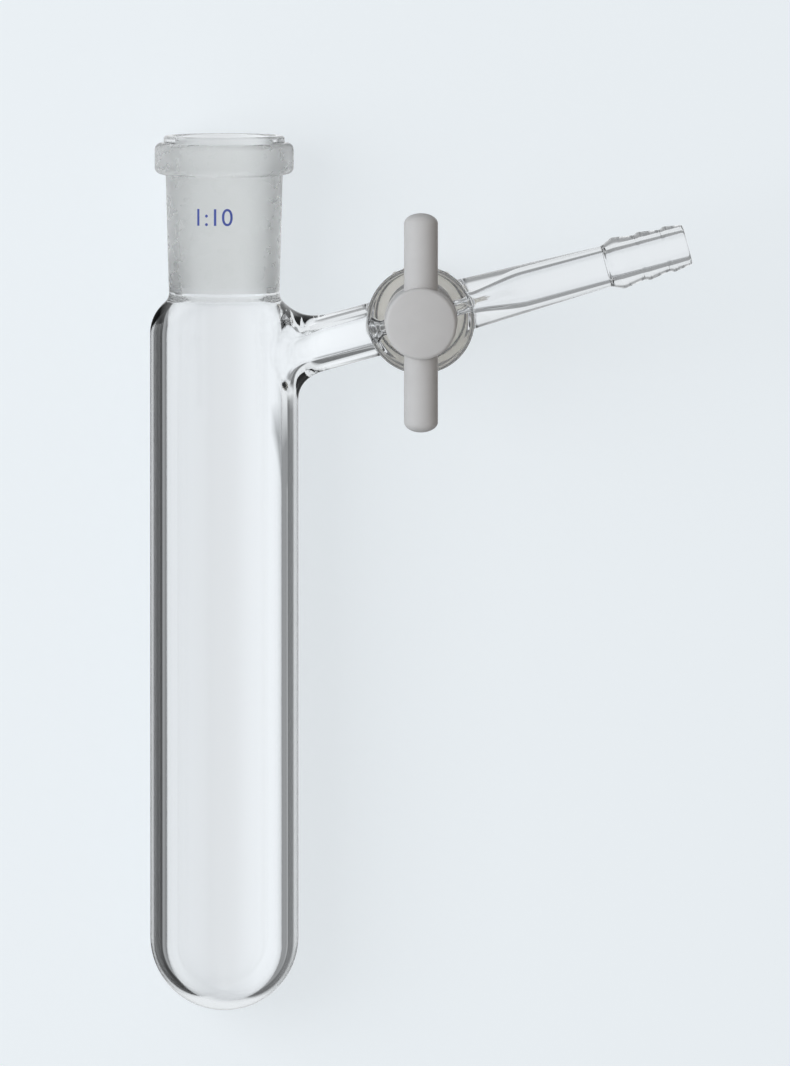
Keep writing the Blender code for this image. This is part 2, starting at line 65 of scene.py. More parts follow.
# %% Place of the glass
TUBE_RADIUS = 14.25 * MM
KEY_JOINT = next(joint for joint in frame["record"]["behaviour"]["joints"] if joint["name"] == "key_turn")
KEY_DIRECTION = Vector(KEY_JOINT["axis"]).normalized()
ARM_WAY = Vector((KEY_DIRECTION.z, 0, -KEY_DIRECTION.x))
GLASS_LOW, GLASS_HIGH = (Vector(corner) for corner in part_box("glass_body"))
ROUND_END = Vector((GLASS_LOW.x + TUBE_RADIUS, GLASS_LOW.y, TUBE_RADIUS))
TURN = Matrix((ARM_WAY, (0, 1, 0), KEY_DIRECTION)).transposed()
TO_WORLD = Matrix.Translation(ROUND_END) @ TURN.to_4x4()
TUBE_LENGTH = GLASS_HIGH.y - GLASS_LOW.y
BARREL_CENTRE = TO_WORLD.inverted() @ Vector(KEY_JOINT["pos_m"])
print("tube is", round(TUBE_LENGTH / MM, 1), "mm long, barrel stands at",
      [round(value / MM, 2) for value in BARREL_CENTRE])

# %% [markdown]
# ## Camera
# The reference view looks almost straight along the stopcock key, a few degrees from the mouth's
# side. Both the open mouth and the hub in front of its barrel are seen at the same small angle, so
# the lens is very long and stands five metres off. The frame is 1066 units high at 5.2 units to the
# millimetre, and the two named positions put the tube's axis and its round end in that frame.

# %% Camera
VIEW_WIDTH, VIEW_HEIGHT = 790, 1066
UNITS_PER_METRE = 5.2 / MM
TUBE_AXIS_ACROSS = 224.3
ROUND_END_DOWN = 1010.5
CAMERA_LIFT = radians(3.3)
CAMERA_AWAY = 5.0
SENSOR = 24.0


def new_object(name, data):
    """A scene object that shows a camera, a lamp, a mesh or a text."""
    made = bpy.data.objects.new(name, data)
    bpy.context.scene.collection.objects.link(made)
    return made


def make_camera():
    away = Vector((0, sin(CAMERA_LIFT), cos(CAMERA_LIFT)))
    up = Vector((0, cos(CAMERA_LIFT), -sin(CAMERA_LIFT)))
    across = (VIEW_WIDTH / 2 - TUBE_AXIS_ACROSS) / UNITS_PER_METRE
    along = (ROUND_END_DOWN - VIEW_HEIGHT / 2) / UNITS_PER_METRE / cos(CAMERA_LIFT)
    facing = Matrix((Vector((1, 0, 0)), up, away)).transposed().to_4x4()
    lens = bpy.data.cameras.new("view")
    lens.sensor_fit = "VERTICAL"
    lens.sensor_height = SENSOR
    lens.lens = SENSOR * CAMERA_AWAY * UNITS_PER_METRE / VIEW_HEIGHT
    lens.clip_end = 4 * CAMERA_AWAY
    camera = new_object("view", lens)
    place = Vector((across, along, 0)) + away * CAMERA_AWAY
    camera.matrix_world = TO_WORLD @ Matrix.Translation(place) @ facing
    bpy.context.scene.camera = camera
    return camera


camera = make_camera()
print("lens", round(camera.data.lens), "mm")

# %% [markdown]
# ## Small helpers
# One function turns a hex colour into Blender's linear numbers, and one adds a node with its
# settings and links, so that every material below reads as a list of what it does.

# %% Helpers for colours and nodes


def colour(hex_code):
    """An sRGB hex colour as linear red, green, blue and alpha."""
    parts = [int(hex_code[start:start + 2], 16) / 255 for start in (0, 2, 4)]
    linear = [part / 12.92 if part <= 0.04045 else ((part + 0.055) / 1.055) ** 2.4 for part in parts]
    return (*linear, 1.0)


def node(tree, kind, *values, **named):
    """Adds a node; a kind without the word Node is a ShaderNode.

    Values fill its inputs in order. Names fill the input of that name, with _ for a space, or of that
    number, as in n6, and names in small letters are settings. Where a value is a socket it is linked,
    and a node stands for its first output.
    """
    made = tree.nodes.new(kind if "Node" in kind else "ShaderNode" + kind)
    inputs = dict(enumerate(values))
    for name, value in named.items():
        if name[1:].isdigit():
            inputs[int(name[1:])] = value
        elif name[0].islower():
            setattr(made, name, value)
        else:
            inputs[name.replace("_", " ")] = value
    for key, value in inputs.items():
        value = value.outputs[0] if isinstance(value, bpy.types.Node) else value
        if isinstance(value, bpy.types.NodeSocket):
            tree.links.new(value, made.inputs[key])
        else:
            made.inputs[key].default_value = value
    return made


def new_material(name):
    """An empty material, its node tree and its object coordinates."""
    material = bpy.data.materials.new(name)
    material.use_nodes = True
    tree = material.node_tree
    tree.nodes.clear()
    return material, tree, node(tree, "TexCoord").outputs["Object"]


# %% [markdown]
# ## Floor
# Glass has no colour of its own: it shows what stands around it. The floor is a pale blue-grey, part
# plain matt paint that keeps the shadow and part glow, which brings it to its written colour. A
# photographer lays the glass over a lit strip on a dark table, with black cards beside it, so that
# its edges draw themselves. Here the strips and cards are levels of the glow that only bent or
# reflected rays see: strips follow the tube and the arm, cards lie on both sides of the tube, and
# the tube's strip is half as wide where the arm's begins. A ray that left a matt surface, such as
# the key's, finds a plain level instead, so the pattern never lights the key.

# %% Floor
PALE = colour("E8EEF2")
PALE_IN_GLASS = colour("EAEDEF")
FLOOR_SIZE = 16.0
GLOW_SHARE = 0.62
GLOW_LEVEL = 1.26
STRIP_LEVEL = 1.2
DIM_LEVEL = 0.36
PLAIN_LEVEL = 0.85
# Distances from a strip's line at which it starts to fade and has faded
TUBE_STRIP = (40 * MM, 54 * MM)
ARM_STRIP = (13 * MM, 20 * MM)
ARM_STRIP_START = Vector((-14, 45, 0)) * MM
ARM_STRIP_END = Vector((66, 64, 0)) * MM
ARM_STRIP_WIDENS = 17.3
# Where the tube's strip gets narrower: millimetres across from its axis, and the floor's own Y
NARROWER_ACROSS = (8.0, 18.0)
NARROWER_ALONG = (14 * MM, 26 * MM)
LEFT_CARD_END = 62 * MM
RIGHT_CARD_END = 38 * MM
CARDS_FADE = 8 * MM
# Millimetres across from the tube's axis, and the level that a ray finds there: first for rays that
# were reflected on their way, then for rays that only passed through
CARD_STOPS = ((-60, 0.8), (-26, 0.6), (-23.5, 0.22), (-21, 0.36), (-19, 0.42), (-18.2, 0.05), (-14, 0.03),
              (-10.5, 0.08), (-9, 1.0), (21, 1.0), (26, 0.4), (28, 0.15), (46, 0.18), (52, 1.0))
SEEN_STOPS = ((-25, 1.05), (-6.5, 1.05), (-2, 0.97), (2, 0.89), (6, 0.9), (8, 0.93), (12, 1.04), (15, 1.12),
              (23, 1.17), (32, 1.1), (45, 1.0), (60, 0.96), (90, 1.0))


def ramp_over(tree, factor, stops):
    """Levels over a range of a number, straight between its stops of (number, level)."""
    low, high = stops[0][0], stops[-1][0]
    curve = node(tree, "FloatCurve", Value=node(tree, "MapRange", factor, low, high))
    points = curve.mapping.curves[0].points
    for number, level in stops:
        place = (number - low) / (high - low)
        if number in (low, high):
            points[0 if number == low else -1].location = (place, level)
        else:
            points.new(place, level)
    for point in points:
        point.handle_type = "VECTOR"
    curve.mapping.clip_max_y = 2.0
    curve.mapping.update()
    return curve


def beside_line(tree, place, start, end, widens=0.0):
    """Distance on the floor from a line, in units that may grow along it by a share for each metre."""
    way = end - start
    along_line = node(tree, "Mapping", vector_type="TEXTURE", Vector=place, Location=start,
                      Rotation=(0, 0, atan2(way.y, way.x)))
    local = node(tree, "SeparateXYZ", along_line)
    held = node(tree, "Clamp", local, 0.0, way.length)
    past = node(tree, "Math", local, held, operation="SUBTRACT")
    offset = node(tree, "CombineXYZ", past, local.outputs["Y"])
    far = node(tree, "VectorMath", offset, operation="LENGTH").outputs["Value"]
    unit = node(tree, "Math", held, widens, 1.0, operation="MULTIPLY_ADD")
    return node(tree, "Math", far, unit, operation="DIVIDE")


def strips_level(tree, place, across, along):
    """Level of the two lit strips, which fade to the dim floor beside them."""
    tube_start = Vector((ROUND_END.x, ROUND_END.y + TUBE_RADIUS, 0))
    tube_end = Vector((ROUND_END.x, ROUND_END.y + TUBE_LENGTH, 0))
    right = node(tree, "MapRange", across, *NARROWER_ACROSS)
    high = node(tree, "MapRange", along, *NARROWER_ALONG)
    narrower = node(tree, "Math", right, high, 1.0, operation="MULTIPLY_ADD")
    tube_side = node(tree, "Math", beside_line(tree, place, tube_start, tube_end), narrower,
                     operation="MULTIPLY")
    arm_side = beside_line(tree, place, ARM_STRIP_START, ARM_STRIP_END, ARM_STRIP_WIDENS)
    levels = [ramp_over(tree, side, ((starts, STRIP_LEVEL), (ends, DIM_LEVEL)))
              for side, (starts, ends) in ((tube_side, TUBE_STRIP), (arm_side, ARM_STRIP))]
    return node(tree, "Math", *levels, operation="MAXIMUM")


def level_in_glass(tree, place, path):
    """How bright a ray that was bent or reflected finds each place of the floor."""
    apart = node(tree, "SeparateXYZ", place)
    across = node(tree, "Math", apart, 1 / MM, -ROUND_END.x / MM, operation="MULTIPLY_ADD")
    on_right = node(tree, "Math", across, 0.0, operation="GREATER_THAN")
    card_end = node(tree, "Mix", Factor=on_right, A=LEFT_CARD_END, B=RIGHT_CARD_END)
    short_of_end = node(tree, "Math", card_end, apart.outputs["Y"], operation="SUBTRACT")
    cards_here = node(tree, "MapRange", short_of_end, 0.0, CARDS_FADE)
    cards = node(tree, "Mix", Factor=cards_here, A=1.0, B=ramp_over(tree, across, CARD_STOPS))
    reflected = node(tree, "Math", path.outputs["Glossy Depth"], 0.5, operation="GREATER_THAN")
    found = node(tree, "Mix", Factor=reflected, A=ramp_over(tree, across, SEEN_STOPS), B=cards)
    strips = strips_level(tree, place, across, apart.outputs["Y"])
    lit = node(tree, "Math", found, strips, operation="MINIMUM")
    left_matt = node(tree, "Math", path.outputs["Diffuse Depth"], 0.5, operation="GREATER_THAN")
    return node(tree, "Mix", Factor=left_matt, A=lit, B=PLAIN_LEVEL)


def bent_ray(tree, path):
    """1 for a ray that gloss or glass sent on, and 0 for any other."""
    return node(tree, "Math", path.outputs["Is Glossy Ray"], path.outputs["Is Transmission Ray"],
                operation="MAXIMUM")


def make_floor():
    bpy.ops.mesh.primitive_plane_add(size=FLOOR_SIZE, location=(0, 0, 0))
    floor = bpy.context.object
    floor.name = "floor"
    material, tree, place = new_material("pale_card")
    path = node(tree, "LightPath")
    from_camera = path.outputs["Is Camera Ray"]
    level = node(tree, "Mix", Factor=from_camera, A=level_in_glass(tree, place, path), B=GLOW_LEVEL)
    shown = node(tree, "Math", from_camera, GLOW_SHARE, operation="MULTIPLY")
    seen = node(tree, "Math", bent_ray(tree, path), shown, operation="MAXIMUM")
    shade = node(tree, "Mix", data_type="RGBA", Factor=from_camera, n6=PALE_IN_GLASS, n7=PALE)
    glow = node(tree, "Emission", shade.outputs[2], level)
    node(tree, "OutputMaterial", node(tree, "MixShader", seen, node(tree, "BsdfDiffuse", PALE), glow))
    floor.data.materials.append(material)


make_floor()
print("floor laid, tube strip", round(TUBE_STRIP[1] / MM), "mm to each side")

# %% [markdown]
# ## Surroundings and light
# Overhead hangs a plain studio: bright above and to the left, greyer towards the right, which
# models the round white key. Rays that carry light get it at a plain level, a softbox on the left
# adds direction, and rays from the camera find the floor's own colour beyond its edge.

# %% Surroundings and light
LIGHT_STOPS = ((-180, "D8DCE2"), (-90, "F8FBFF"), (-60, "F8FBFF"), (-30, "B0B4BA"), (10, "989694"),
               (50, "8C8278"), (90, "7E6F62"), (180, "9A948E"))
GLASS_STOPS = ((-180, "D8DCE0"), (-90, "C4C8CC"), (-60, "F0F2F4"), (-20, "FFFFFF"), (20, "FAFBFC"),
               (45, "DADCDE"), (70, "B8BBBE"), (180, "D0D2D4"))
LIGHT_LEVEL = 0.9
SOFTBOX_PLACE = Vector((-0.9, 0.15, 0.75))
SOFTBOX_AIM = Vector((0, 0.03, 0.02))
SOFTBOX_SIZE = 0.6
SOFTBOX_WATTS = 5.0


def round_ramp(tree, around, stops):
    """Colours over an angle, from stops of (degrees, hex colour)."""
    ramp = node(tree, "ValToRGB", node(tree, "MapRange", around, -pi, pi))
    while len(ramp.color_ramp.elements) < len(stops):
        ramp.color_ramp.elements.new(0.5)
    for element, (degrees_round, shade) in zip(ramp.color_ramp.elements, stops):
        element.position = (degrees_round + 180) / 360
        element.color = colour(shade)
    return ramp


def make_world():
    world = bpy.data.worlds.new("studio")
    bpy.context.scene.world = world
    world.use_nodes = True
    tree = world.node_tree
    tree.nodes.clear()
    direction = node(tree, "SeparateXYZ", node(tree, "TexCoord").outputs["Generated"])
    around = node(tree, "Math", direction, direction.outputs["Z"], operation="ARCTAN2")
    path = node(tree, "LightPath")
    light = node(tree, "Background", round_ramp(tree, around, LIGHT_STOPS), LIGHT_LEVEL)
    in_glass = node(tree, "Background", round_ramp(tree, around, GLASS_STOPS), 1.0)
    mixed = node(tree, "MixShader", bent_ray(tree, path), light, in_glass)
    plain = node(tree, "Background", PALE, 1.0)
    node(tree, "OutputWorld", node(tree, "MixShader", path.outputs["Is Camera Ray"], mixed, plain))


def make_softbox():
    light = bpy.data.lights.new("left_softbox", "AREA")
    light.size = SOFTBOX_SIZE
    light.energy = SOFTBOX_WATTS
    lamp = new_object("left_softbox", light)
    lamp.location = SOFTBOX_PLACE
    lamp.rotation_euler = (SOFTBOX_AIM - SOFTBOX_PLACE).to_track_quat("-Z", "Y").to_euler()
    lamp.visible_glossy = False
    lamp.visible_transmission = False


make_world()
make_softbox()
print("light level", LIGHT_LEVEL, "of plain white")

# %% [markdown]
# ## How the glass is drawn
# The tube, its neck and the stopcock barrel were turned, so each is an outline swept round an axis.
# Where one piece of glass is fused to another the surfaces flow together. A Boolean would leave a
# torn seam there, and glass shows every flaw, so the seal is drawn instead: each line along the arm
# curves out until it lies on the tube, and the tube's own grid is cut open round that ring and
# filled with triangles that stay on its surface.

# %% Sizes of the glass
TUBE_WALL = 3.1 * MM
BOTTOM_WALL = 2.0 * MM
SHOULDER_ROUND = 8.0 * MM
SHOULDER_HOLLOW = 2.5 * MM
INNER_ROUND = 6.0 * MM
INNER_HOLLOW = 2.0 * MM
SOCKET_SMALL_RADIUS = 8.1 * MM
SOCKET_TAPER = 1 / 10
GROUND_LENGTH = 28.8 * MM
NECK_WALL = 2.55 * MM
NECK_TAPER = 1 / 19
BEAD_HEIGHT = 6.0 * MM
BEAD_PROUD = 2.1 * MM
BEAD_ROUND = 1.3 * MM
LIP_HEIGHT = 1.4 * MM
LIP_PROUD = 0.4 * MM
LIP_ROUND = 0.6 * MM

GROUND_TOP = TUBE_LENGTH - LIP_HEIGHT
GROUND_BOTTOM = GROUND_TOP - GROUND_LENGTH
CAVITY_RADIUS = TUBE_RADIUS - TUBE_WALL
NECK_RADIUS = SOCKET_SMALL_RADIUS + NECK_WALL
NECK_TOP_RADIUS = NECK_RADIUS + (GROUND_LENGTH - BEAD_HEIGHT) * NECK_TAPER / 2
SOCKET_TOP_RADIUS = SOCKET_SMALL_RADIUS + GROUND_LENGTH * SOCKET_TAPER / 2

ARM_RISE = radians(15.2)
ARM_ALONG = Vector((cos(ARM_RISE), sin(ARM_RISE), 0))
ARM_UP = Vector((-sin(ARM_RISE), cos(ARM_RISE), 0))
ARM_SIDE = Vector((0, 0, 1))
BARREL_ON_ARM = BARREL_CENTRE.x / cos(ARM_RISE)
ARM_HEIGHT = BARREL_CENTRE.y - BARREL_ON_ARM * sin(ARM_RISE)
ARM_START = Vector((0, ARM_HEIGHT, 0))
INNER_ARM_RADIUS = 5.2 * MM
OUTER_ARM_RADIUS = 5.0 * MM
ARM_BORE_RADIUS = 2.8 * MM
ARM_LENGTH = 92.29 * MM

BARREL_FRONT = 14.0 * MM
BARREL_REAR = 16.0 * MM
BARREL_FRONT_RADIUS = 9.9 * MM
BARREL_REAR_RADIUS = 8.3 * MM
BARREL_LIP_PROUD = 0.45 * MM
BARREL_LIP_LENGTH = 3.0 * MM
BARREL_EDGE_ROUND = 0.9 * MM
SEAT_RADIUS = 5.6 * MM
SEAT_TAPER = 1 / 5
PORT_RADIUS = 1.5 * MM


class Shoulder:
    """Two tangent arcs that take a turned outline from a wide radius to a narrow, tapered one."""

    def __init__(self, wide, narrow, rounding, hollow, taper):
        self.wide, self.narrow, self.rounding, self.hollow = wide, narrow, rounding, hollow
        self.taper = taper
        self.turn = acos(1 - (wide - narrow) / (rounding + hollow))
        self.length = (rounding + hollow) * sin(self.turn)
        self.start = GROUND_BOTTOM - self.length

    def radius(self, height):
        climbed = height - self.start
        if climbed <= 0:
            return self.wide
        if climbed <= self.rounding * sin(self.turn):
            return self.wide - self.rounding + sqrt(self.rounding ** 2 - climbed ** 2)
        if climbed >= self.length:
            return self.narrow + (height - GROUND_BOTTOM) * self.taper / 2
        return self.narrow + self.hollow - sqrt(self.hollow ** 2 - (self.length - climbed) ** 2)


OUTSIDE = Shoulder(TUBE_RADIUS, NECK_RADIUS, SHOULDER_ROUND, SHOULDER_HOLLOW, NECK_TAPER)
INSIDE = Shoulder(CAVITY_RADIUS, SOCKET_SMALL_RADIUS, INNER_ROUND, INNER_HOLLOW, SOCKET_TAPER)
print("shoulder starts", round(OUTSIDE.start / MM, 1), "mm up, wall is", round(TUBE_WALL / MM, 1), "mm")

# %% [markdown]
# ## Turned surfaces with windows
# A turned surface is a grid of rows and columns. A window leaves out a rectangle of it round a seal,
# and a Delaunay triangulation in the unrolled grid fills what lies between the rectangle and the
# ring where the seal lands. Every new corner is a corner of one of the two, so all of them lie on
# the true surface and the glass stays smooth to the eye.

# %% Turned surfaces
ALONG_TUBE = Matrix.Rotation(radians(-90), 4, "X")
AT_BARREL = Matrix.Translation(BARREL_CENTRE)
TUBE_COLUMNS = 192
BARREL_COLUMNS = 128
SHARP_ANGLE = 35
MERGE_WITHIN = 0.0005 * MM
# Grid corners nearer to a seal than this share of a column's width are left out
CLEAR_OF_RING = 0.6


class Shell:
    """Corners and faces of one closed surface, gathered patch by patch."""

    def __init__(self):
        self.points = []
        self.faces = []
        self.slots = []

    def add(self, points, faces, slot=0):
        first = len(self.points)
        self.points.extend(tuple(point) for point in points)
        self.faces.extend(tuple(first + corner for corner in face) for face in faces)
        self.slots.extend([slot] * len(faces))

    def to_object(self, name, materials, placing=TO_WORLD):
        """Merges the patches into one placed mesh, faces outward and shaded smooth."""
        mesh = bpy.data.meshes.new(name)
        mesh.from_pydata(self.points, [], self.faces)
        mesh.polygons.foreach_set("material_index", self.slots)
        bm = bmesh.new()
        bm.from_mesh(mesh)
        bmesh.ops.remove_doubles(bm, verts=bm.verts, dist=MERGE_WITHIN)
        bmesh.ops.recalc_face_normals(bm, faces=bm.faces)
        bmesh.ops.transform(bm, matrix=placing, verts=bm.verts)
        open_edges = sum(1 for edge in bm.edges if len(edge.link_faces) != 2)
        bm.to_mesh(mesh)
        bm.free()
        mesh.shade_smooth()
        mesh.set_sharp_from_angle(angle=radians(SHARP_ANGLE))
        for material in materials:
            mesh.materials.append(material)
        made = new_object(name, mesh)
        mesh.calc_loop_triangles()
        print(name, "has", len(mesh.loop_triangles), "triangles and", open_edges, "open edges")
        return made


def arc(centre, radius, start, end, steps):
    """Points of an outline along an arc, angles in degrees from the radial direction."""
    angles = [radians(start + (end - start) * step / steps) for step in range(steps + 1)]
    return [(centre[0] + radius * cos(angle), centre[1] + radius * sin(angle)) for angle in angles]


def swept(outline, columns, placing):
    """An outline of (radius, height) turned round the axis, as a ring of corners for each point."""
    angles = [2 * pi * column / columns for column in range(columns)]
    return [[placing @ Vector((radius * cos(angle), radius * sin(angle), height)) for angle in angles]
            for radius, height in outline]


def add_rings(shell, rings, slot=0, left_out=()):
    """Skins rings of equal count, open at both ends, but for the cells that are left out."""
    count = len(rings[0])
    faces = []
    for row in range(len(rings) - 1):
        for index in range(count):
            after = (index + 1) % count
            if (row, index) not in left_out:
                faces.append((row * count + index, row * count + after,
                              (row + 1) * count + after, (row + 1) * count + index))
    shell.add([point for ring in rings for point in ring], faces, slot)


def add_turned(shell, outline, columns, placing, windows=(), slot=0):
    """Adds a turned surface, cut open by windows of (middle angle, half angle, low, high, ring)."""
    grid = swept(outline, columns, placing)
    closed_cells = set()
    for window in windows:
        closed_cells |= add_window(shell, grid, outline, placing, window, slot)
    add_rings(shell, grid, slot, closed_cells)


def inside_ring(spots, ring, margin):
    """For each flat spot, whether it lies inside a ring of flat points or within a margin of it."""
    spots = np.array(spots)
    ring = np.array(ring)
    after = np.roll(ring, -1, axis=0)
    x, y = spots[:, :1], spots[:, 1:]
    crosses = (ring[:, 1] > y) != (after[:, 1] > y)
    rise = np.where(after[:, 1] == ring[:, 1], 1.0, after[:, 1] - ring[:, 1])
    at = ring[:, 0] + (y - ring[:, 1]) * (after[:, 0] - ring[:, 0]) / rise
    inside = (np.sum(crosses & (x < at), axis=1) % 2) == 1
    near = np.min(np.hypot(x - ring[:, 0], y - ring[:, 1]), axis=1) < margin
    return inside | near


def add_window(shell, grid, outline, placing, window, slot):
    """Fills one window round its ring and returns the grid cells that it stands for."""
    middle, half, low, high, ring = window
    columns = len(grid[0])
    step = 2 * pi / columns
    first = int(round((middle - half) / step))
    wide = int(round(2 * half / step))
    heights = [height for _, height in outline]
    rows = [row for row, height in enumerate(heights) if low <= height <= high]
    bottom, top = rows[0], rows[-1]
    scale = sum(outline[row][0] for row in range(bottom, top + 1)) / (top - bottom + 1)
    back = placing.inverted()
    ring_flat = []
    for point in ring:
        local = back @ point
        turn = (atan2(local.y, local.x) - middle + pi) % (2 * pi) - pi
        ring_flat.append((turn * scale, local.z))
    border, inner = [], []
    for row in range(bottom, top + 1):
        for column in range(wide + 1):
            flat = (((first + column) * step - middle) * scale, heights[row])
            corner = (flat, grid[row][(first + column) % columns])
            on_border = row in (bottom, top) or column in (0, wide)
            (border if on_border else inner).append(corner)
    hidden = inside_ring([flat for flat, _ in inner], ring_flat, step * scale * CLEAR_OF_RING)
    corners = border + [corner for corner, hide in zip(inner, hidden) if not hide]
    flats = [Vector(flat) for flat, _ in corners] + [Vector(flat) for flat in ring_flat]
    solids = [solid for _, solid in corners] + list(ring)
    start = len(corners)
    edges = [(start + index, start + (index + 1) % len(ring)) for index in range(len(ring))]
    made = delaunay_2d_cdt(flats, edges, [], 0, 1e-9)
    origins = made[3]
    faces = [tuple(origins[corner][0] for corner in face) for face in made[2]]
    middles = [sum((flats[corner] for corner in face), Vector((0, 0))) / 3 for face in faces]
    dropped = inside_ring(middles, ring_flat, 0.0)
    shell.add(solids, [face for face, drop in zip(faces, dropped) if not drop], slot)
    return {(row, (first + column) % columns) for row in range(bottom, top) for column in range(wide)}


# %% [markdown]
# ## Fused seals
# The glass blower heats both pieces until they run together, so the arm leaves in a soft flare. A
# quadratic curve does that: it leaves along the arm, lands tangent to the body, and its middle
# point is where the arm's line meets the plane that touches the body at the landing. The same
# function draws the outside flare of the arm and the rounded mouth of the bore inside.

# %% Fused seals
ARM_COLUMNS = 96
SEAL_STEPS = 14
WALK_STEP = 0.5 * MM
HALVINGS = 30
LANDING_ROUNDS = 8
PROBE = 0.01 * MM


def above_tube(point):
    return sqrt(point.x ** 2 + point.z ** 2) - OUTSIDE.radius(point.y)


def above_cavity(point):
    return sqrt(point.x ** 2 + point.z ** 2) - INSIDE.radius(point.y)


def barrel_radius(forward):
    share = (forward + BARREL_REAR) / (BARREL_FRONT + BARREL_REAR)
    return BARREL_REAR_RADIUS + (BARREL_FRONT_RADIUS - BARREL_REAR_RADIUS) * share


def above_barrel(point):
    offset = point - BARREL_CENTRE
    return sqrt(offset.x ** 2 + offset.y ** 2) - barrel_radius(offset.z)


def above_seat(point):
    offset = point - BARREL_CENTRE
    return sqrt(offset.x ** 2 + offset.y ** 2) - (SEAT_RADIUS + offset.z * SEAT_TAPER / 2)


def surface_normal(height_above, point):
    shifts = (Vector((PROBE, 0, 0)), Vector((0, PROBE, 0)), Vector((0, 0, PROBE)))
    slopes = [height_above(point + shift) - height_above(point - shift) for shift in shifts]
    return Vector(slopes).normalized()


def first_touch(start, heading, height_above):
    """Walks along a heading to the first place under a surface, then halves its way onto it."""
    inside = 0.0
    while height_above(start + heading * inside) > 0:
        inside += WALK_STEP
    outside = inside - WALK_STEP
    for _ in range(HALVINGS):
        middle = (outside + inside) / 2
        if height_above(start + heading * middle) > 0:
            outside = middle
        else:
            inside = middle
    return start + heading * inside


def laid_on(point, height_above):
    for _ in range(LANDING_ROUNDS):
        point = point - surface_normal(height_above, point) * height_above(point)
    return point


def arm_ring(along, radius):
    """Ring of points round the side arm's axis."""
    centre = ARM_START + ARM_ALONG * along
    angles = [2 * pi * index / ARM_COLUMNS for index in range(ARM_COLUMNS)]
    return [centre + (ARM_UP * cos(angle) + ARM_SIDE * sin(angle)) * radius for angle in angles]


def seal_rings(begin, heading, radius, height_above, on_arm, on_body):
    """Rings of a fused seal, from the plain arm to the ring that lies on the body."""
    rings = [[] for _ in range(SEAL_STEPS + 1)]
    centre = ARM_START + ARM_ALONG * begin
    for start in arm_ring(begin, radius):
        outward = (start - centre).normalized()
        touch = first_touch(start, heading, height_above)
        normal = surface_normal(height_above, touch)
        across = (outward - normal * outward.dot(normal)).normalized()
        landing = laid_on(touch + across * on_body, height_above)
        facing = surface_normal(height_above, landing)
        bend = start + heading * ((landing - start).dot(facing) / heading.dot(facing))
        leave = bend - heading * on_arm
        for step, ring in enumerate(rings):
            share = step / SEAL_STEPS
            ring.append(leave * (1 - share) ** 2 + bend * 2 * share * (1 - share) + landing * share ** 2)
    return rings


# %% [markdown]
# ## Outlines of tube, socket and barrel
# These follow the frame's solids, only with finer arcs. Rows are close together where a window
# needs them and far apart on plain stretches, since a straight wall is exact with two rows.

# %% Outlines
FINE_ROW = 0.5 * MM
NECK_ROW = 2 * MM
GROUND_ROW = 2.4 * MM
PLAIN_ROW = 15 * MM
PLAIN_FROM = 20 * MM
PLAIN_SHORT = 5 * MM
SEAL_LOW = 110 * MM
SEAL_HIGH = 139.5 * MM
MOUTH_LOW = 115 * MM
MOUTH_HIGH = 136.5 * MM
SMOOTH_STEPS = 12
ROUND_END_STEPS = 40
BEAD_FOOT_ANGLE = -75


def heights_between(low, high, spacing):
    count = int(round((high - low) / spacing))
    return [low + (high - low) * step / count for step in range(count + 1)]


def plain_wall(radius, high):
    """Rows of the straight wall, a little short of the fine rows above it."""
    return [(radius, height) for height in heights_between(PLAIN_FROM, high - PLAIN_SHORT, PLAIN_ROW)]


def outside_outline():
    """Outside of the tube from its round end to the neck."""
    outline = arc((0, TUBE_RADIUS), TUBE_RADIUS, -90, 0, ROUND_END_STEPS) + plain_wall(TUBE_RADIUS, SEAL_LOW)
    return outline + [(OUTSIDE.radius(height), height)
                      for height in heights_between(SEAL_LOW, SEAL_HIGH, FINE_ROW)]


def neck_outline():
    """Outside of the neck and the bead, up to the foot of the lip."""
    bead_radius = NECK_TOP_RADIUS + BEAD_PROUD
    bead_bottom = GROUND_TOP - BEAD_HEIGHT
    outline = [(OUTSIDE.radius(height), height)
               for height in heights_between(SEAL_HIGH, bead_bottom - FINE_ROW, NECK_ROW)]
    outline.append((NECK_TOP_RADIUS, bead_bottom - FINE_ROW / 2))
    middle = bead_radius - BEAD_ROUND
    outline += arc((middle, bead_bottom + BEAD_ROUND), BEAD_ROUND, BEAD_FOOT_ANGLE, 0, SMOOTH_STEPS)
    return outline + arc((middle, GROUND_TOP - BEAD_ROUND), BEAD_ROUND, 0, 90, SMOOTH_STEPS)


def lip_outline():
    """Fire-polished lip above the bead, up to the flat of the rim."""
    lip_radius = NECK_TOP_RADIUS + LIP_PROUD
    outline = [(NECK_TOP_RADIUS + BEAD_PROUD - BEAD_ROUND, GROUND_TOP), (lip_radius, GROUND_TOP)]
    return outline + arc((lip_radius - LIP_ROUND, TUBE_LENGTH - LIP_ROUND), LIP_ROUND, 0, 90,
                         SMOOTH_STEPS)


def mouth_outline():
    """Flat of the rim and the rounded inner edge of the lip."""
    mouth_radius = SOCKET_TOP_RADIUS + LIP_ROUND
    outline = [(NECK_TOP_RADIUS + LIP_PROUD - LIP_ROUND, TUBE_LENGTH)]
    outline += arc((mouth_radius, TUBE_LENGTH - LIP_ROUND), LIP_ROUND, 90, 180, SMOOTH_STEPS)
    return outline + [(SOCKET_TOP_RADIUS, GROUND_TOP)]


def ground_outline():
    """Ground cone of the socket, from its top to its small end."""
    return [(SOCKET_TOP_RADIUS - (GROUND_TOP - height) * SOCKET_TAPER / 2, height)
            for height in heights_between(GROUND_BOTTOM, GROUND_TOP, GROUND_ROW)][::-1]


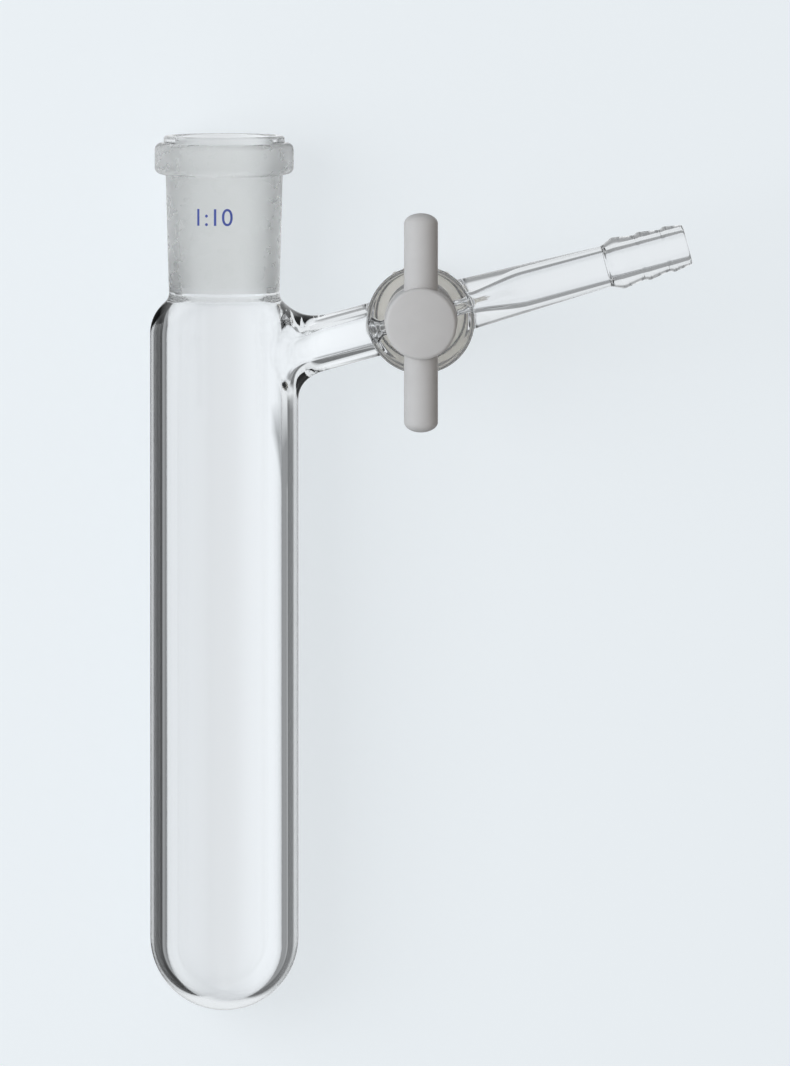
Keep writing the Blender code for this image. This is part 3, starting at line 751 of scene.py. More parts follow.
def cavity_outline():
    """Inside of the shoulder and the tube, down to the round bottom."""
    outline = [(INSIDE.radius(height), height)
               for height in heights_between(MOUTH_LOW, GROUND_BOTTOM, FINE_ROW)][::-1]
    outline += plain_wall(CAVITY_RADIUS, MOUTH_LOW)[::-1]
    return outline + arc((0, BOTTOM_WALL + CAVITY_RADIUS), CAVITY_RADIUS, 0, -90, ROUND_END_STEPS)


def barrel_outline():
    """Outside of the barrel, with a thickened lip at both ends."""
    rear = BARREL_REAR_RADIUS + BARREL_LIP_PROUD / 2
    front = BARREL_FRONT_RADIUS + BARREL_LIP_PROUD
    outline = arc((rear - BARREL_EDGE_ROUND, BARREL_EDGE_ROUND - BARREL_REAR), BARREL_EDGE_ROUND,
                  -90, 0, SMOOTH_STEPS)
    plain_low = BARREL_LIP_LENGTH - BARREL_REAR
    plain_high = BARREL_FRONT - BARREL_LIP_LENGTH
    outline += [(barrel_radius(height), height)
                for height in heights_between(plain_low, plain_high, FINE_ROW)]
    outline += arc((front - BARREL_EDGE_ROUND, BARREL_FRONT - BARREL_EDGE_ROUND), BARREL_EDGE_ROUND,
                   0, 90, SMOOTH_STEPS)
    return outline


def seat_outline():
    """Conical seat from the front of the barrel to its rear."""
    return [(SEAT_RADIUS + height * SEAT_TAPER / 2, height)
            for height in heights_between(-BARREL_REAR, BARREL_FRONT, FINE_ROW)][::-1]


# %% [markdown]
# ## Hose end
# Three barbs, each rising over a short stretch and falling in a straight line towards the tip, so
# that a hose slides on easily and holds. A smooth step carries the radius from valley to crest. The
# first rise is longer, since there the thicker hose end was joined to the arm, and inside it the
# bore steps in at the seam.

# %% Hose end
BARB_COUNT = 3
BARB_PITCH = 5.0 * MM
LAST_CREST_FROM_TIP = 3.6 * MM
LAST_CREST_RADIUS = 4.5 * MM
CREST_STEP = 0.28 * MM
CREST_DROP = 0.65 * MM
FIRST_RISE_LENGTH = 3.0 * MM
BARB_RISE_LENGTH = 1.1 * MM
HOSE_NECK_RADIUS = 4.0 * MM
HOSE_BORE_RADIUS = 2.5 * MM
TIP_ROUND = 0.6 * MM
TIP_BEVEL = 0.3 * MM
SEAM_BEFORE_CREST = 2.4 * MM
SEAM_LENGTH = 0.7 * MM
FIRST_CREST_AT = ARM_LENGTH - LAST_CREST_FROM_TIP - (BARB_COUNT - 1) * BARB_PITCH
HOSE_NECK_AT = FIRST_CREST_AT - FIRST_RISE_LENGTH


def smooth(share):
    share = min(max(share, 0.0), 1.0)
    return share * share * (3 - 2 * share)


def hose_radius(along):
    """Outside radius of the hose end at a distance along the arm."""
    fall = BARB_PITCH - BARB_RISE_LENGTH
    number = int((along - FIRST_CREST_AT + BARB_RISE_LENGTH) // BARB_PITCH)
    number = min(max(number, 0), BARB_COUNT - 1)
    crest = FIRST_CREST_AT + number * BARB_PITCH
    crest_radius = LAST_CREST_RADIUS + (BARB_COUNT - 1 - number) * CREST_STEP
    if along >= crest:
        return crest_radius - CREST_DROP * (along - crest) / fall
    before = HOSE_NECK_RADIUS if number == 0 else crest_radius + CREST_STEP - CREST_DROP
    rise = FIRST_RISE_LENGTH if number == 0 else BARB_RISE_LENGTH
    return before + (crest_radius - before) * smooth((along - crest + rise) / rise)


def outer_arm_radius(along):
    """Outside radius between barrel and tip: the arm narrows a little, then the barbs begin."""
    if along >= HOSE_NECK_AT:
        return hose_radius(along)
    begin = BARREL_ON_ARM + BARREL_FRONT_RADIUS
    share = (along - begin) / (HOSE_NECK_AT - begin)
    return OUTER_ARM_RADIUS + (HOSE_NECK_RADIUS - OUTER_ARM_RADIUS) * max(share, 0.0)


# %% [markdown]
# ## The whole glass
# Two arms, two bores, the tube and the barrel share their end rings exactly, so merging the doubled
# corners closes them into one surface, just as the flame made one piece of glass.

# %% Assemble the glass
# How far each seal's curve reaches back along the arm, and out over the body that it lands on
TUBE_SEAL = (5.4 * MM, 4.4 * MM)
MOUTH_SEAL = (5.0 * MM, 4.4 * MM)
BARREL_SEAL = (1.6 * MM, 1.6 * MM)
PORT_SEAL = (0.3 * MM, 0.25 * MM)
TUBE_WINDOW = radians(52)
MOUTH_WINDOW = radians(50)
BARREL_WINDOW = radians(60)
PORT_WINDOW = radians(30)
PORT_WINDOW_REACH = 3 * MM
MOUTH_DEPTH = 8 * MM
PORT_NARROWS_OVER = 1.6 * MM
PORT_STRAIGHT = 0.4 * MM
PORT_WIDENS_OVER = 12 * MM
ARM_ROW = 2 * MM
BORE_ROW = 0.8 * MM
BORE_FROM_PORT = 0.5 * MM
BORE_FROM_TIP = 1.0 * MM
SEAM_ROW = 0.15 * MM
SEAM_MARGIN = 0.2 * MM
OUTER_ARM_FROM = BARREL_ON_ARM + 2 * BARREL_FRONT_RADIUS
PORT_IN = BARREL_ON_ARM - barrel_radius(0)
PORT_OUT = BARREL_ON_ARM + barrel_radius(0)


def outer_arm_rings():
    """Outside of the outer arm, from beyond its seal to the rounded tip."""
    tip = ARM_LENGTH - TIP_ROUND
    stations = heights_between(OUTER_ARM_FROM, HOSE_NECK_AT, ARM_ROW)
    stations += heights_between(HOSE_NECK_AT, tip, FINE_ROW / 2)[1:]
    corners = [(outer_arm_radius(along), along) for along in stations]
    corners += arc((outer_arm_radius(tip) - TIP_ROUND, tip), TIP_ROUND, 0, 90, SMOOTH_STEPS // 2)[1:]
    return [arm_ring(along, radius) for radius, along in corners]


def outer_bore_rings():
    """Bore of the outer arm, from the tip past the seam to the narrow port."""
    seam = FIRST_CREST_AT - SEAM_BEFORE_CREST
    seam_end = seam + SEAM_LENGTH
    stations = heights_between(PORT_OUT + BORE_FROM_PORT, seam - 2 * SEAM_MARGIN, BORE_ROW)
    stations += heights_between(seam - SEAM_MARGIN, seam_end + SEAM_MARGIN, SEAM_ROW)
    stations += heights_between(seam_end + 3 * SEAM_MARGIN, ARM_LENGTH - BORE_FROM_TIP, BORE_ROW)
    rings = [arm_ring(ARM_LENGTH, HOSE_BORE_RADIUS + TIP_BEVEL),
             arm_ring(ARM_LENGTH - TIP_BEVEL, HOSE_BORE_RADIUS)]
    for along in stations[::-1]:
        widened = (ARM_BORE_RADIUS - PORT_RADIUS) * smooth((along - PORT_OUT) / PORT_WIDENS_OVER)
        narrowed = (ARM_BORE_RADIUS - HOSE_BORE_RADIUS) * smooth((along - seam) / SEAM_LENGTH)
        rings.append(arm_ring(along, PORT_RADIUS + widened - narrowed))
    return rings


def inner_bore_rings():
    """Bore of the inner arm, from its soft mouth in the cavity to the narrow port."""
    begin = CAVITY_RADIUS + MOUTH_DEPTH
    rings = seal_rings(begin, -ARM_ALONG, ARM_BORE_RADIUS, above_cavity, *MOUTH_SEAL)[::-1]
    rings += [arm_ring(along, ARM_BORE_RADIUS) for along in heights_between(begin, PORT_IN, 2 * FINE_ROW)]
    for share in (0.25, 0.5, 0.75, 1.0):
        rings.append(arm_ring(PORT_IN + PORT_NARROWS_OVER * share,
                              ARM_BORE_RADIUS + (PORT_RADIUS - ARM_BORE_RADIUS) * smooth(share)))
    return rings


def make_glass(clear, ground, satin):
    shell = Shell()
    middle = (TUBE_RADIUS + BARREL_ON_ARM - BARREL_FRONT_RADIUS) / 2
    to_tube = seal_rings(middle, -ARM_ALONG, INNER_ARM_RADIUS, above_tube, *TUBE_SEAL)
    to_barrel = seal_rings(middle, ARM_ALONG, INNER_ARM_RADIUS, above_barrel, *BARREL_SEAL)
    from_barrel = seal_rings(OUTER_ARM_FROM, -ARM_ALONG, OUTER_ARM_RADIUS, above_barrel, *BARREL_SEAL)
    outer_port = seal_rings(PORT_OUT, -ARM_ALONG, PORT_RADIUS, above_seat, *PORT_SEAL)
    port_begin = PORT_IN + PORT_NARROWS_OVER + PORT_STRAIGHT
    inner_port = seal_rings(port_begin, ARM_ALONG, PORT_RADIUS, above_seat, *PORT_SEAL)
    inner_bore = inner_bore_rings()
    add_rings(shell, to_tube[::-1] + to_barrel)
    add_rings(shell, from_barrel[::-1] + outer_arm_rings() + outer_bore_rings() + outer_port)
    add_rings(shell, inner_bore + inner_port)

    arm_window = (0.0, TUBE_WINDOW, SEAL_LOW, SEAL_HIGH, to_tube[-1])
    mouth_window = (0.0, MOUTH_WINDOW, MOUTH_LOW, MOUTH_HIGH, inner_bore[0])
    for outline, windows, slot in ((outside_outline(), [arm_window], 0), (neck_outline(), (), 2),
                                   (lip_outline(), (), 0), (mouth_outline(), (), 0),
                                   (ground_outline(), (), 1), (cavity_outline(), [mouth_window], 0)):
        add_turned(shell, outline, TUBE_COLUMNS, ALONG_TUBE, windows, slot)

    low, high = BARREL_LIP_LENGTH - BARREL_REAR, BARREL_FRONT - BARREL_LIP_LENGTH
    arm_windows = [(ARM_RISE, BARREL_WINDOW, low, high, from_barrel[-1]),
                   (ARM_RISE + pi, BARREL_WINDOW, low, high, to_barrel[-1])]
    port_windows = [(ARM_RISE, PORT_WINDOW, -PORT_WINDOW_REACH, PORT_WINDOW_REACH, outer_port[-1]),
                    (ARM_RISE + pi, PORT_WINDOW, -PORT_WINDOW_REACH, PORT_WINDOW_REACH, inner_port[-1])]
    outside, seat = barrel_outline(), seat_outline()
    for outline, windows in ((outside, arm_windows), (seat, port_windows), ([outside[-1], seat[0]], ()),
                             ([seat[-1], outside[0]], ())):
        add_turned(shell, outline, BARREL_COLUMNS, AT_BARREL, windows)
    return shell.to_object("blown_glass", [clear, ground, satin])


# %% [markdown]
# ## Borosilicate glass
# Drawn and flame-polished borosilicate tube: clear and free of colour at this thickness, with an
# index of 1.473. Drawing leaves striae, long and very shallow waves along the tube, which show
# only as a slight unrest in what one sees through it. The ground socket is the same glass cut with
# fine grit, which scatters what passes through it and turns it milky white. The neck's outside was
# worked in the flame and handled, which leaves it a little dull, like satin.

# %% Glass materials
GLASS_IOR = 1.473
STRIA_WIDTH = 2.5 * MM
STRIA_LENGTH = 60 * MM
STRIA_DEPTH = 0.004 * MM
GRIT = 0.25 * MM
GROUND_ROUGHNESS = (0.50, 0.56)
HAZE = 3 * MM
SATIN_ROUGHNESS = (0.26, 0.30)
# Noise lies mostly between these two values
NOISE_RANGE = (0.3, 0.7)


def make_clear_glass():
    material, tree, place = new_material("borosilicate_glass")
    drawn = node(tree, "Mapping", Vector=place, Scale=(1.0, STRIA_WIDTH / STRIA_LENGTH, 1.0))
    striae = node(tree, "TexNoise", Vector=drawn, Scale=1 / STRIA_WIDTH, Detail=1.0)
    waves = node(tree, "Bump", Height=striae, Distance=STRIA_DEPTH, Strength=1.0)
    glass = node(tree, "BsdfPrincipled", Base_Color=colour("FCFDFE"), Roughness=0.0, IOR=GLASS_IOR,
                 Transmission_Weight=1.0, Normal=waves)
    node(tree, "OutputMaterial", glass)
    return material


def make_dull_glass(name, shade, grain_size, roughness, through):
    """Glass with a skin that scatters what passes it, in a fine unevenness."""
    material, tree, place = new_material(name)
    grain = node(tree, "TexNoise", Vector=place, Scale=1 / grain_size, Detail=2.0)
    milk = node(tree, "MapRange", grain, *NOISE_RANGE, *roughness)
    glass = node(tree, "BsdfPrincipled", Base_Color=colour(shade), Roughness=milk, IOR=GLASS_IOR,
                 Transmission_Weight=through)
    node(tree, "OutputMaterial", glass)
    return material


ground_glass = make_dull_glass("ground_glass", "FCFDFC", GRIT, GROUND_ROUGHNESS, through=0.9)
satin_glass = make_dull_glass("satin_glass", "FCFDFD", HAZE, SATIN_ROUGHNESS, through=1.0)
blown_glass = make_glass(make_clear_glass(), ground_glass, satin_glass)
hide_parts("glass_body")
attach(blown_glass, "glass")

# %% [markdown]
# ## Turned white key
# The key is one piece of PTFE: a conical plug, a hub with a shallow domed face, a rod through the
# hub as handle, and a stud behind. Each part is turned as on a lathe, and Booleans join them, since
# no flowing seal is wanted here: PTFE is machined and its corners are crisp.

# %% Key
SEAT_CLEARANCE = 0.08 * MM
PLUG_PROUD = 1.0 * MM
PLUG_RECESS = 1.2 * MM
KEY_BORE_RADIUS = 1.25 * MM
KEY_BORE_BEYOND = 2.0 * MM
HUB_RADIUS = 6.85 * MM
HUB_FRONT = 30.5 * MM
HUB_DOME = 0.7 * MM
HUB_ROUND = 0.9 * MM
HANDLE_FORWARD = 24.4 * MM
HANDLE_RADIUS = 3.25 * MM
HANDLE_LENGTH = 42.0 * MM
HANDLE_DOME = 2.0 * MM
STUD_RADIUS = 3.0 * MM
STUD_FLAT = 2.4 * MM
STUD_PROUD = 2.0 * MM
STUD_CHAMFER = 0.4 * MM
STACK_GAP = 0.3 * MM
STUD_CLEARANCE = 0.3 * MM
WASHER_RADIUS = 6.6 * MM
WASHER_THICKNESS = 1.5 * MM
O_RING_CORD = 2.4 * MM
NUT_RADIUS = 9.0 * MM
NUT_THICKNESS = 6.0 * MM
WASHER_FRONT = -BARREL_REAR - STACK_GAP
WASHER_BACK = WASHER_FRONT - WASHER_THICKNESS
O_RING_MIDDLE = WASHER_BACK - STACK_GAP - O_RING_CORD / 2
NUT_FRONT = O_RING_MIDDLE - O_RING_CORD / 2 - STACK_GAP
NUT_BACK = NUT_FRONT - NUT_THICKNESS
STUD_END = NUT_BACK - STUD_PROUD
KEY_COLUMNS = 128
STUD_COLUMNS = 64


def plug_outline():
    """Plug, hub and domed face; the dome and the hub's rounded edge are tangent arcs."""
    outline = [(0, PLUG_RECESS - BARREL_REAR)]
    for forward in (PLUG_RECESS - BARREL_REAR, BARREL_FRONT + PLUG_PROUD):
        outline.append((SEAT_RADIUS - SEAT_CLEARANCE + forward * SEAT_TAPER / 2, forward))
    inset = HUB_RADIUS - HUB_ROUND
    dome = (inset ** 2 + HUB_DOME ** 2) / (2 * HUB_DOME)
    rise = sqrt((dome - HUB_ROUND) ** 2 - inset ** 2)
    turn = degrees(atan2(rise, inset))
    outline.append((HUB_RADIUS, BARREL_FRONT + PLUG_PROUD))
    outline += arc((inset, HUB_FRONT - dome + rise), HUB_ROUND, 0, turn, SMOOTH_STEPS)
    outline += arc((0, HUB_FRONT - dome), dome, turn, 90, SMOOTH_STEPS)[1:]
    return outline


def handle_outline():
    """A rod along the handle's axis, with a shallow dome at each end."""
    half = HANDLE_LENGTH / 2
    turns = [pi / 2 * step / SMOOTH_STEPS for step in range(SMOOTH_STEPS + 1)]
    end = [(HANDLE_RADIUS * sin(turn), half - HANDLE_DOME * (1 - cos(turn))) for turn in turns]
    return [(radius, -height) for radius, height in end] + end[::-1]


def stud_ring(radius, flat, forward, count=STUD_COLUMNS):
    """Round section with one flat, which keeps the washer from turning on the stud."""
    ring = []
    for index in range(count):
        angle = 2 * pi * index / count
        reach = min(radius, flat / cos(angle)) if cos(angle) * radius > flat else radius
        ring.append(BARREL_CENTRE + Vector((reach * cos(angle), reach * sin(angle), forward)))
    return ring


def capped(rings):
    """Closes a loft with a fan at each end."""
    ends = [[sum(ring, Vector((0, 0, 0))) / len(ring)] * len(ring) for ring in (rings[0], rings[-1])]
    return [ends[0]] + rings + [ends[1]]


def lofted_piece(name, rings, materials=(), placing=TO_WORLD):
    shell = Shell()
    add_rings(shell, rings)
    return shell.to_object(name, materials, placing)


def evaluated_mesh(source):
    """The mesh that an object's modifiers or its text come to."""
    return bpy.data.meshes.new_from_object(source.evaluated_get(bpy.context.evaluated_depsgraph_get()))


def cut_or_joined(body, tools):
    """Joins or cuts a body by exact Booleans and removes the tools, given as (object, operation)."""
    for tool, operation in tools:
        step = body.modifiers.new(tool.name, "BOOLEAN")
        step.operation = operation
        step.solver = "EXACT"
        step.object = tool
    made = evaluated_mesh(body)
    body.modifiers.clear()
    body.data = made
    made.shade_smooth()
    made.set_sharp_from_angle(angle=radians(SHARP_ANGLE))
    for tool, _ in tools:
        bpy.data.objects.remove(tool, do_unlink=True)


def make_key(material):
    key = lofted_piece("turned_key", swept(plug_outline(), KEY_COLUMNS, AT_BARREL))
    handle_place = Matrix.Translation(BARREL_CENTRE + Vector((0, 0, HANDLE_FORWARD))) @ ALONG_TUBE
    handle = lofted_piece("handle", swept(handle_outline(), STUD_COLUMNS, handle_place))
    end_flat = STUD_FLAT - STUD_CHAMFER
    stud = lofted_piece("stud", capped([
        stud_ring(STUD_RADIUS - STUD_CHAMFER, end_flat, STUD_END),
        stud_ring(STUD_RADIUS, STUD_FLAT, STUD_END + STUD_CHAMFER),
        stud_ring(STUD_RADIUS, STUD_FLAT, PLUG_RECESS - BARREL_REAR + STUD_RADIUS)]))
    reach = SEAT_RADIUS + KEY_BORE_BEYOND
    bore_outline = [(0, -reach), (KEY_BORE_RADIUS, -reach), (KEY_BORE_RADIUS, reach), (0, reach)]
    bore = lofted_piece("key_bore", swept(bore_outline, STUD_COLUMNS, AT_BARREL @ ALONG_TUBE))
    cut_or_joined(key, [(handle, "UNION"), (stud, "UNION"), (bore, "DIFFERENCE")])
    key.data.materials.clear()
    key.data.materials.append(material)
    return key


# %% [markdown]
# ## PTFE
# Skived and turned PTFE is dense white and a little waxy: light goes a short way in, which softens
# the shading, and the gloss is dull. The tool leaves fine rings round the key's axis. Real ones are
# about 0.1 mm apart; they are drawn 0.3 mm apart so that they show at all.

# %% PTFE
TOOL_MARK = 0.3 * MM
TOOL_DEPTH = 0.006 * MM
CLOUD = 4 * MM
LIGHT_DEPTH = 0.8 * MM
# Blender's ring wave has a period of pi / 10 at a scale of 1
WAVE_PERIOD = pi / 10


def tinted(tree, place, grain_size, detail, first, second):
    """Noise of a grain size, and the colour between two hex colours that it picks."""
    grain = node(tree, "TexNoise", Vector=place, Scale=1 / grain_size, Detail=detail)
    tint = node(tree, "Mix", data_type="RGBA", Factor=grain, n6=colour(first), n7=colour(second))
    return grain, tint.outputs[2]


def make_ptfe():
    material, tree, place = new_material("turned_ptfe")
    on_key = node(tree, "Mapping", vector_type="TEXTURE", Vector=place, Location=TO_WORLD @ BARREL_CENTRE,
                  Rotation=TURN.to_euler())
    rings = node(tree, "TexWave", wave_type="RINGS", rings_direction="Z", Vector=on_key,
                 Scale=WAVE_PERIOD / TOOL_MARK, Distortion=0.4)
    cloud, tint = tinted(tree, place, CLOUD, 3.0, "C8C7C6", "D1D0CF")
    shine = node(tree, "MapRange", Value=cloud, To_Min=0.38, To_Max=0.50)
    marks = node(tree, "Bump", Height=rings.outputs["Fac"], Distance=TOOL_DEPTH, Strength=1.0)
    plastic = node(tree, "BsdfPrincipled", Base_Color=tint, Roughness=shine, IOR=1.35,
                   Subsurface_Weight=0.25, Subsurface_Scale=LIGHT_DEPTH,
                   Subsurface_Radius=(1.0, 1.0, 1.0), Normal=marks)
    node(tree, "OutputMaterial", plastic)
    return material


ptfe = make_ptfe()
turned_key = make_key(ptfe)
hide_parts("stopcock_key")
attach(turned_key, "key")

# %% [markdown]
# ## Thread on the stud
# A thread follows a path, so Geometry Nodes draw it: a spiral curve carries a three-cornered
# section, and a block cuts it off level with the stud's flat. Its inputs are the thread's sizes.

# %% Thread
THREAD_PITCH = 1.0 * MM
THREAD_PROUD = 0.24 * MM
THREAD_CUTTER = Vector((20, 40, 60)) * MM


def new_tree(name, sizes):
    """A Geometry Nodes tree with number inputs; returns it, its input node and their identifiers."""
    tree = bpy.data.node_groups.new(name, "GeometryNodeTree")
    tree.interface.new_socket("Geometry", in_out="INPUT", socket_type="NodeSocketGeometry")
    names = {}
    for size in sizes:
        added = tree.interface.new_socket(size, in_out="INPUT", socket_type="NodeSocketFloat")
        names[size] = added.identifier
    tree.interface.new_socket("Geometry", in_out="OUTPUT", socket_type="NodeSocketGeometry")
    return tree, tree.nodes.new("NodeGroupInput"), names


def finish_tree(tree, geometry, material):
    """Ends a tree in Realize Instances and Set Material."""
    real = node(tree, "GeometryNodeRealizeInstances", geometry)
    node(tree, "NodeGroupOutput", node(tree, "GeometryNodeSetMaterial", real, Material=material))


def grown(name, start_mesh, tree, names, sizes, placing):
    """Runs a tree on a mesh and returns the result as a plain mesh object, placed in the world."""
    seed = new_object(name + "_seed", start_mesh)
    step = seed.modifiers.new(name, "NODES")
    step.node_group = tree
    for size, value in sizes.items():
        step[names[size]] = value
    mesh = evaluated_mesh(seed)
    mesh.transform(placing)
    seed.modifiers.clear()
    bpy.data.objects.remove(seed, do_unlink=True)
    print(name, "has", len(mesh.polygons), "faces")
    return new_object(name, mesh)


def thread_tree(material):
    tree, inputs, names = new_tree("thread", ("Core Radius", "Proud", "Pitch", "Length", "Flat"))
    core, proud, pitch, length, flat = (inputs.outputs[name] for name in names)
    turns = node(tree, "Math", length, pitch, operation="DIVIDE")
    spiral = node(tree, "GeometryNodeCurveSpiral", Resolution=48, Rotations=turns, Start_Radius=core,
                  End_Radius=core, Height=length)
    section = node(tree, "GeometryNodeCurvePrimitiveCircle", Resolution=3, Radius=proud)
    ridge = node(tree, "GeometryNodeCurveToMesh", Curve=spiral, Profile_Curve=section, Fill_Caps=True)
    block = node(tree, "GeometryNodeMeshCube", THREAD_CUTTER)
    away = node(tree, "CombineXYZ", node(tree, "Math", flat, THREAD_CUTTER.x / 2, operation="ADD"))
    moved = node(tree, "GeometryNodeTransform", Geometry=block, Translation=away)
    level = node(tree, "GeometryNodeMeshBoolean", ridge, moved, operation="DIFFERENCE", solver="EXACT")
    finish_tree(tree, level, material)
    return tree, names


def make_thread(material):
    tree, names = thread_tree(material)
    sizes = {"Core Radius": STUD_RADIUS - THREAD_PROUD / 4, "Proud": THREAD_PROUD, "Pitch": THREAD_PITCH,
             "Length": WASHER_BACK - STUD_END - 2 * STUD_CHAMFER, "Flat": STUD_FLAT}
    start = TO_WORLD @ AT_BARREL @ Matrix.Translation((0, 0, STUD_END + STUD_CHAMFER))
    return grown("stud_thread", bpy.data.meshes.new("thread"), tree, names, sizes, start)


stud_thread = make_thread(ptfe)
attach(stud_thread, "key")

# %% [markdown]
# ## Washer and rubber ring
# Behind the barrel a PTFE washer, a rubber ring and a ribbed nut pull the key into its seat. The
# washer has the stud's flat in its hole, so it turns with the key and spares the rubber. The rubber
# is nitrile, near black, with a dull skin from its mould.

# %% Washer and ring
WASHER_CHAMFER = 0.2 * MM
RING_STEPS = 24
MOULD_GRAIN = 0.4 * MM


def make_washer(material):
    hole = (STUD_RADIUS + STUD_CLEARANCE, STUD_FLAT + STUD_CLEARANCE)
    rings = [stud_ring(*hole, WASHER_BACK, KEY_COLUMNS)]
    for radius, forward in ((WASHER_RADIUS - WASHER_CHAMFER, WASHER_BACK),
                            (WASHER_RADIUS, WASHER_BACK + WASHER_CHAMFER),
                            (WASHER_RADIUS, WASHER_FRONT - WASHER_CHAMFER),
                            (WASHER_RADIUS - WASHER_CHAMFER, WASHER_FRONT)):
        rings.append(stud_ring(radius, 2 * radius, forward, KEY_COLUMNS))
    rings += [stud_ring(*hole, WASHER_FRONT, KEY_COLUMNS), rings[0]]
    return lofted_piece("ptfe_washer", rings, [material])


def make_rubber():
    material, tree, place = new_material("nitrile_rubber")
    skin, dust = tinted(tree, place, MOULD_GRAIN, 2.0, "1E1F20", "2A2B2C")
    shine = node(tree, "MapRange", Value=skin, To_Min=0.45, To_Max=0.65)
    rubber = node(tree, "BsdfPrincipled", Base_Color=dust, Roughness=shine, IOR=1.5)
    node(tree, "OutputMaterial", rubber)
    return material


def make_rubber_ring(material):
    cord = O_RING_CORD / 2
    section = arc((STUD_RADIUS + STUD_CLEARANCE + cord, O_RING_MIDDLE), cord, 0, 360, RING_STEPS)
    return lofted_piece("rubber_ring", swept(section, KEY_COLUMNS, AT_BARREL), [material])


washer = make_washer(ptfe)
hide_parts("sealing_washer")
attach(washer, "key")
rubber_ring = make_rubber_ring(make_rubber())
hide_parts("o_ring")
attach(rubber_ring, "o_ring")

# %% [markdown]
# ## Thumb nut
# Moulded in natural polypropylene, which is milky and lets much of the light through: a satin skin
# with a little of the mould's grain. The nut is a turned blank whose edge is then ribbed: the ribs
# repeat round it by a rule, so a small tree moves each corner of the edge in by a cosine of its
# angle.

# %% Thumb nut
NUT_CHAMFER = 0.6 * MM
NUT_RIBS = 20
NUT_RIB_DEPTH = 0.5 * MM
NUT_COLUMNS = 240
NUT_TRANSLUCENT = 0.65
NUT_GRAIN = 0.3 * MM
NUT_GRAIN_DEPTH = 0.01 * MM


def rib_tree(material):
    tree, inputs, names = new_tree("ribbed_edge", ("Ribs", "Depth", "Plain Radius", "Edge Radius"))
    ribs, depth, plain, edge = (inputs.outputs[name] for name in names)
    place = node(tree, "GeometryNodeInputPosition")
    apart = node(tree, "SeparateXYZ", place)
    angle = node(tree, "Math", apart.outputs["Y"], apart, operation="ARCTAN2")
    ribs_round = node(tree, "Math", angle, ribs, operation="MULTIPLY")
    wave = node(tree, "Math", ribs_round, operation="COSINE")
    groove = node(tree, "Math", wave, -0.5, 0.5, operation="MULTIPLY_ADD")
    flat = node(tree, "VectorMath", place, (1, 1, 0), operation="MULTIPLY")
    radius = node(tree, "VectorMath", flat, operation="LENGTH").outputs["Value"]
    on_edge = node(tree, "MapRange", radius, plain, edge)
    share = node(tree, "Math", groove, on_edge, operation="MULTIPLY")
    cut = node(tree, "Math", share, depth, operation="MULTIPLY")
    inward = node(tree, "Math", cut, -1.0, operation="MULTIPLY")
    way = node(tree, "VectorMath", flat, operation="NORMALIZE")
    move = node(tree, "VectorMath", way, operation="SCALE", Scale=inward)
    ribbed = node(tree, "GeometryNodeSetPosition", inputs.outputs["Geometry"], Offset=move)
    finish_tree(tree, ribbed, material)
    return tree, names


def make_nut_plastic():
    material, tree, place = new_material("moulded_polypropylene")
    grain, tint = tinted(tree, place, NUT_GRAIN, 2.0, "EFEBE2", "F4F1E9")
    shine = node(tree, "MapRange", Value=grain, To_Min=0.36, To_Max=0.46)
    skin = node(tree, "Bump", Height=grain, Distance=NUT_GRAIN_DEPTH, Strength=1.0)
    plastic = node(tree, "BsdfPrincipled", Base_Color=tint, Roughness=shine, IOR=1.49,
                   Transmission_Weight=NUT_TRANSLUCENT, Normal=skin)
    node(tree, "OutputMaterial", plastic)
    return material


def make_nut(material):
    bore = STUD_RADIUS + STUD_CLEARANCE
    face = NUT_RADIUS - NUT_CHAMFER
    outline = [(bore, NUT_BACK), (face, NUT_BACK), (NUT_RADIUS, NUT_BACK + NUT_CHAMFER),
               (NUT_RADIUS, NUT_FRONT - NUT_CHAMFER), (face, NUT_FRONT), (bore, NUT_FRONT), (bore, NUT_BACK)]
    blank = lofted_piece("nut_blank", swept(outline, NUT_COLUMNS, Matrix()), placing=Matrix())
    mesh = blank.data
    bpy.data.objects.remove(blank, do_unlink=True)
    tree, names = rib_tree(material)
    sizes = {"Ribs": float(NUT_RIBS), "Depth": NUT_RIB_DEPTH, "Plain Radius": face,
             "Edge Radius": NUT_RADIUS}
    return grown("thumb_nut", mesh, tree, names, sizes, TO_WORLD @ AT_BARREL)


thumb_nut = make_nut(make_nut_plastic())
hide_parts("retaining_nut")
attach(thumb_nut, "nut")

# %% [markdown]
# ## Printed mark
# Ground sockets carry a small print in fired blue ink. Here it gives the socket's taper in plain
# numbers. The letters are a text object made a mesh, then bent round the neck a hair above it.

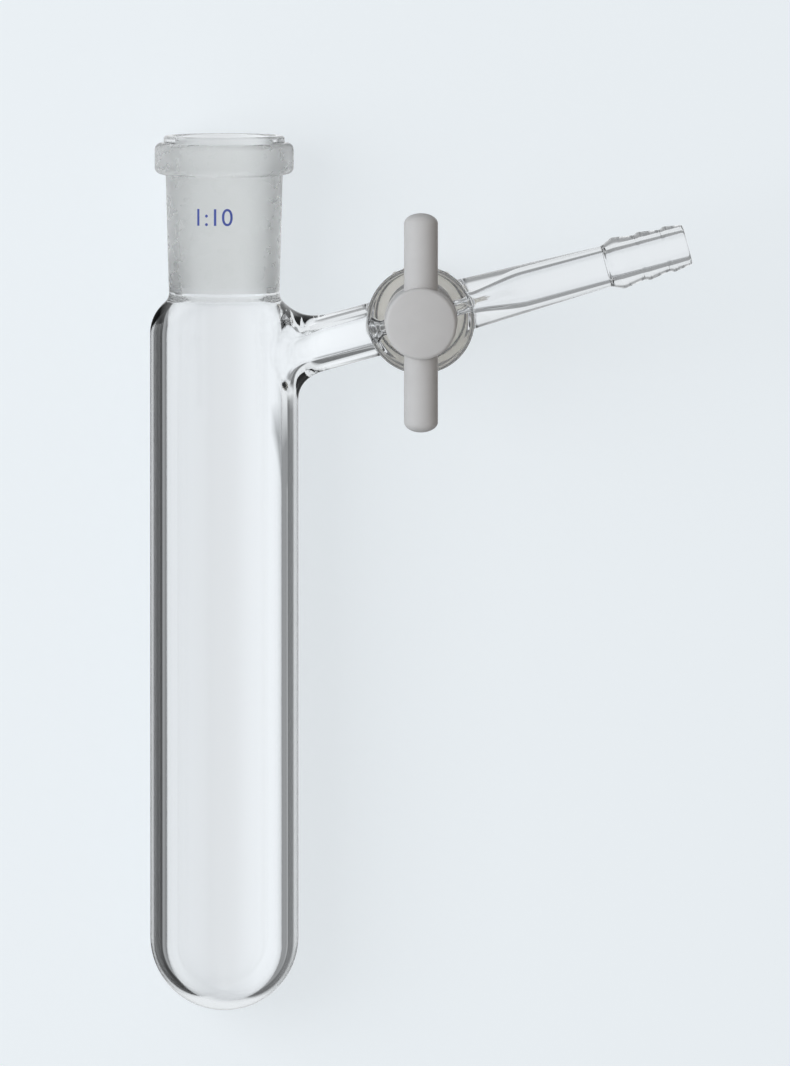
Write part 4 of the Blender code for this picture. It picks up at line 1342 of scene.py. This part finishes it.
# %% Printed mark
MARK_TEXT = "1:10"
MARK_HEIGHT = 3.3 * MM
MARK_ACROSS = -2.2 * MM
MARK_UP = 153.0 * MM
MARK_PROUD = 0.02 * MM
MARK_CUT = 0.4 * MM
INK_GRAIN = 0.3 * MM
# Height of a figure as a share of the font's size
FIGURE_SHARE = 0.70


def make_ink():
    material, tree, place = new_material("fired_blue_ink")
    _, tint = tinted(tree, place, INK_GRAIN, 2.0, "3A4C9A", "4C5CAA")
    node(tree, "OutputMaterial", node(tree, "BsdfPrincipled", Base_Color=tint, Roughness=0.5, IOR=1.5))
    return material


def flat_mark():
    """The lettering as a thin flat mesh."""
    lettering = bpy.data.curves.new("mark", "FONT")
    lettering.body = MARK_TEXT
    lettering.size = MARK_HEIGHT / FIGURE_SHARE
    lettering.align_x = "CENTER"
    lettering.align_y = "CENTER"
    lettering.extrude = MARK_PROUD / 4
    written = new_object("mark_seed", lettering)
    mesh = evaluated_mesh(written)
    bpy.data.objects.remove(written, do_unlink=True)
    return mesh


def make_mark(material):
    """Cuts the lettering into narrow strips, so that it can bend, and lays it round the neck."""
    mesh = flat_mark()
    bm = bmesh.new()
    bm.from_mesh(mesh)
    low = min(vert.co.x for vert in bm.verts)
    high = max(vert.co.x for vert in bm.verts)
    for cut in np.arange(low + MARK_CUT, high, MARK_CUT):
        bmesh.ops.bisect_plane(bm, geom=bm.verts[:] + bm.edges[:] + bm.faces[:], plane_co=(cut, 0, 0),
                               plane_no=(1, 0, 0))
    for vert in bm.verts:
        height = MARK_UP + vert.co.y
        radius = OUTSIDE.radius(height) + MARK_PROUD + vert.co.z
        angle = (MARK_ACROSS + vert.co.x) / radius
        vert.co = TO_WORLD @ Vector((radius * sin(angle), height, radius * cos(angle)))
    bm.to_mesh(mesh)
    bm.free()
    mesh.materials.clear()
    mesh.materials.append(material)
    print("mark is", round((high - low) / MM, 1), "mm wide")
    return new_object("taper_mark", mesh)


taper_mark = make_mark(make_ink())
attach(taper_mark, "glass")

# %% [markdown]
# ## Finish
# The view transform is set to Standard.

# %% Finish
bpy.context.scene.view_settings.view_transform = "Standard"
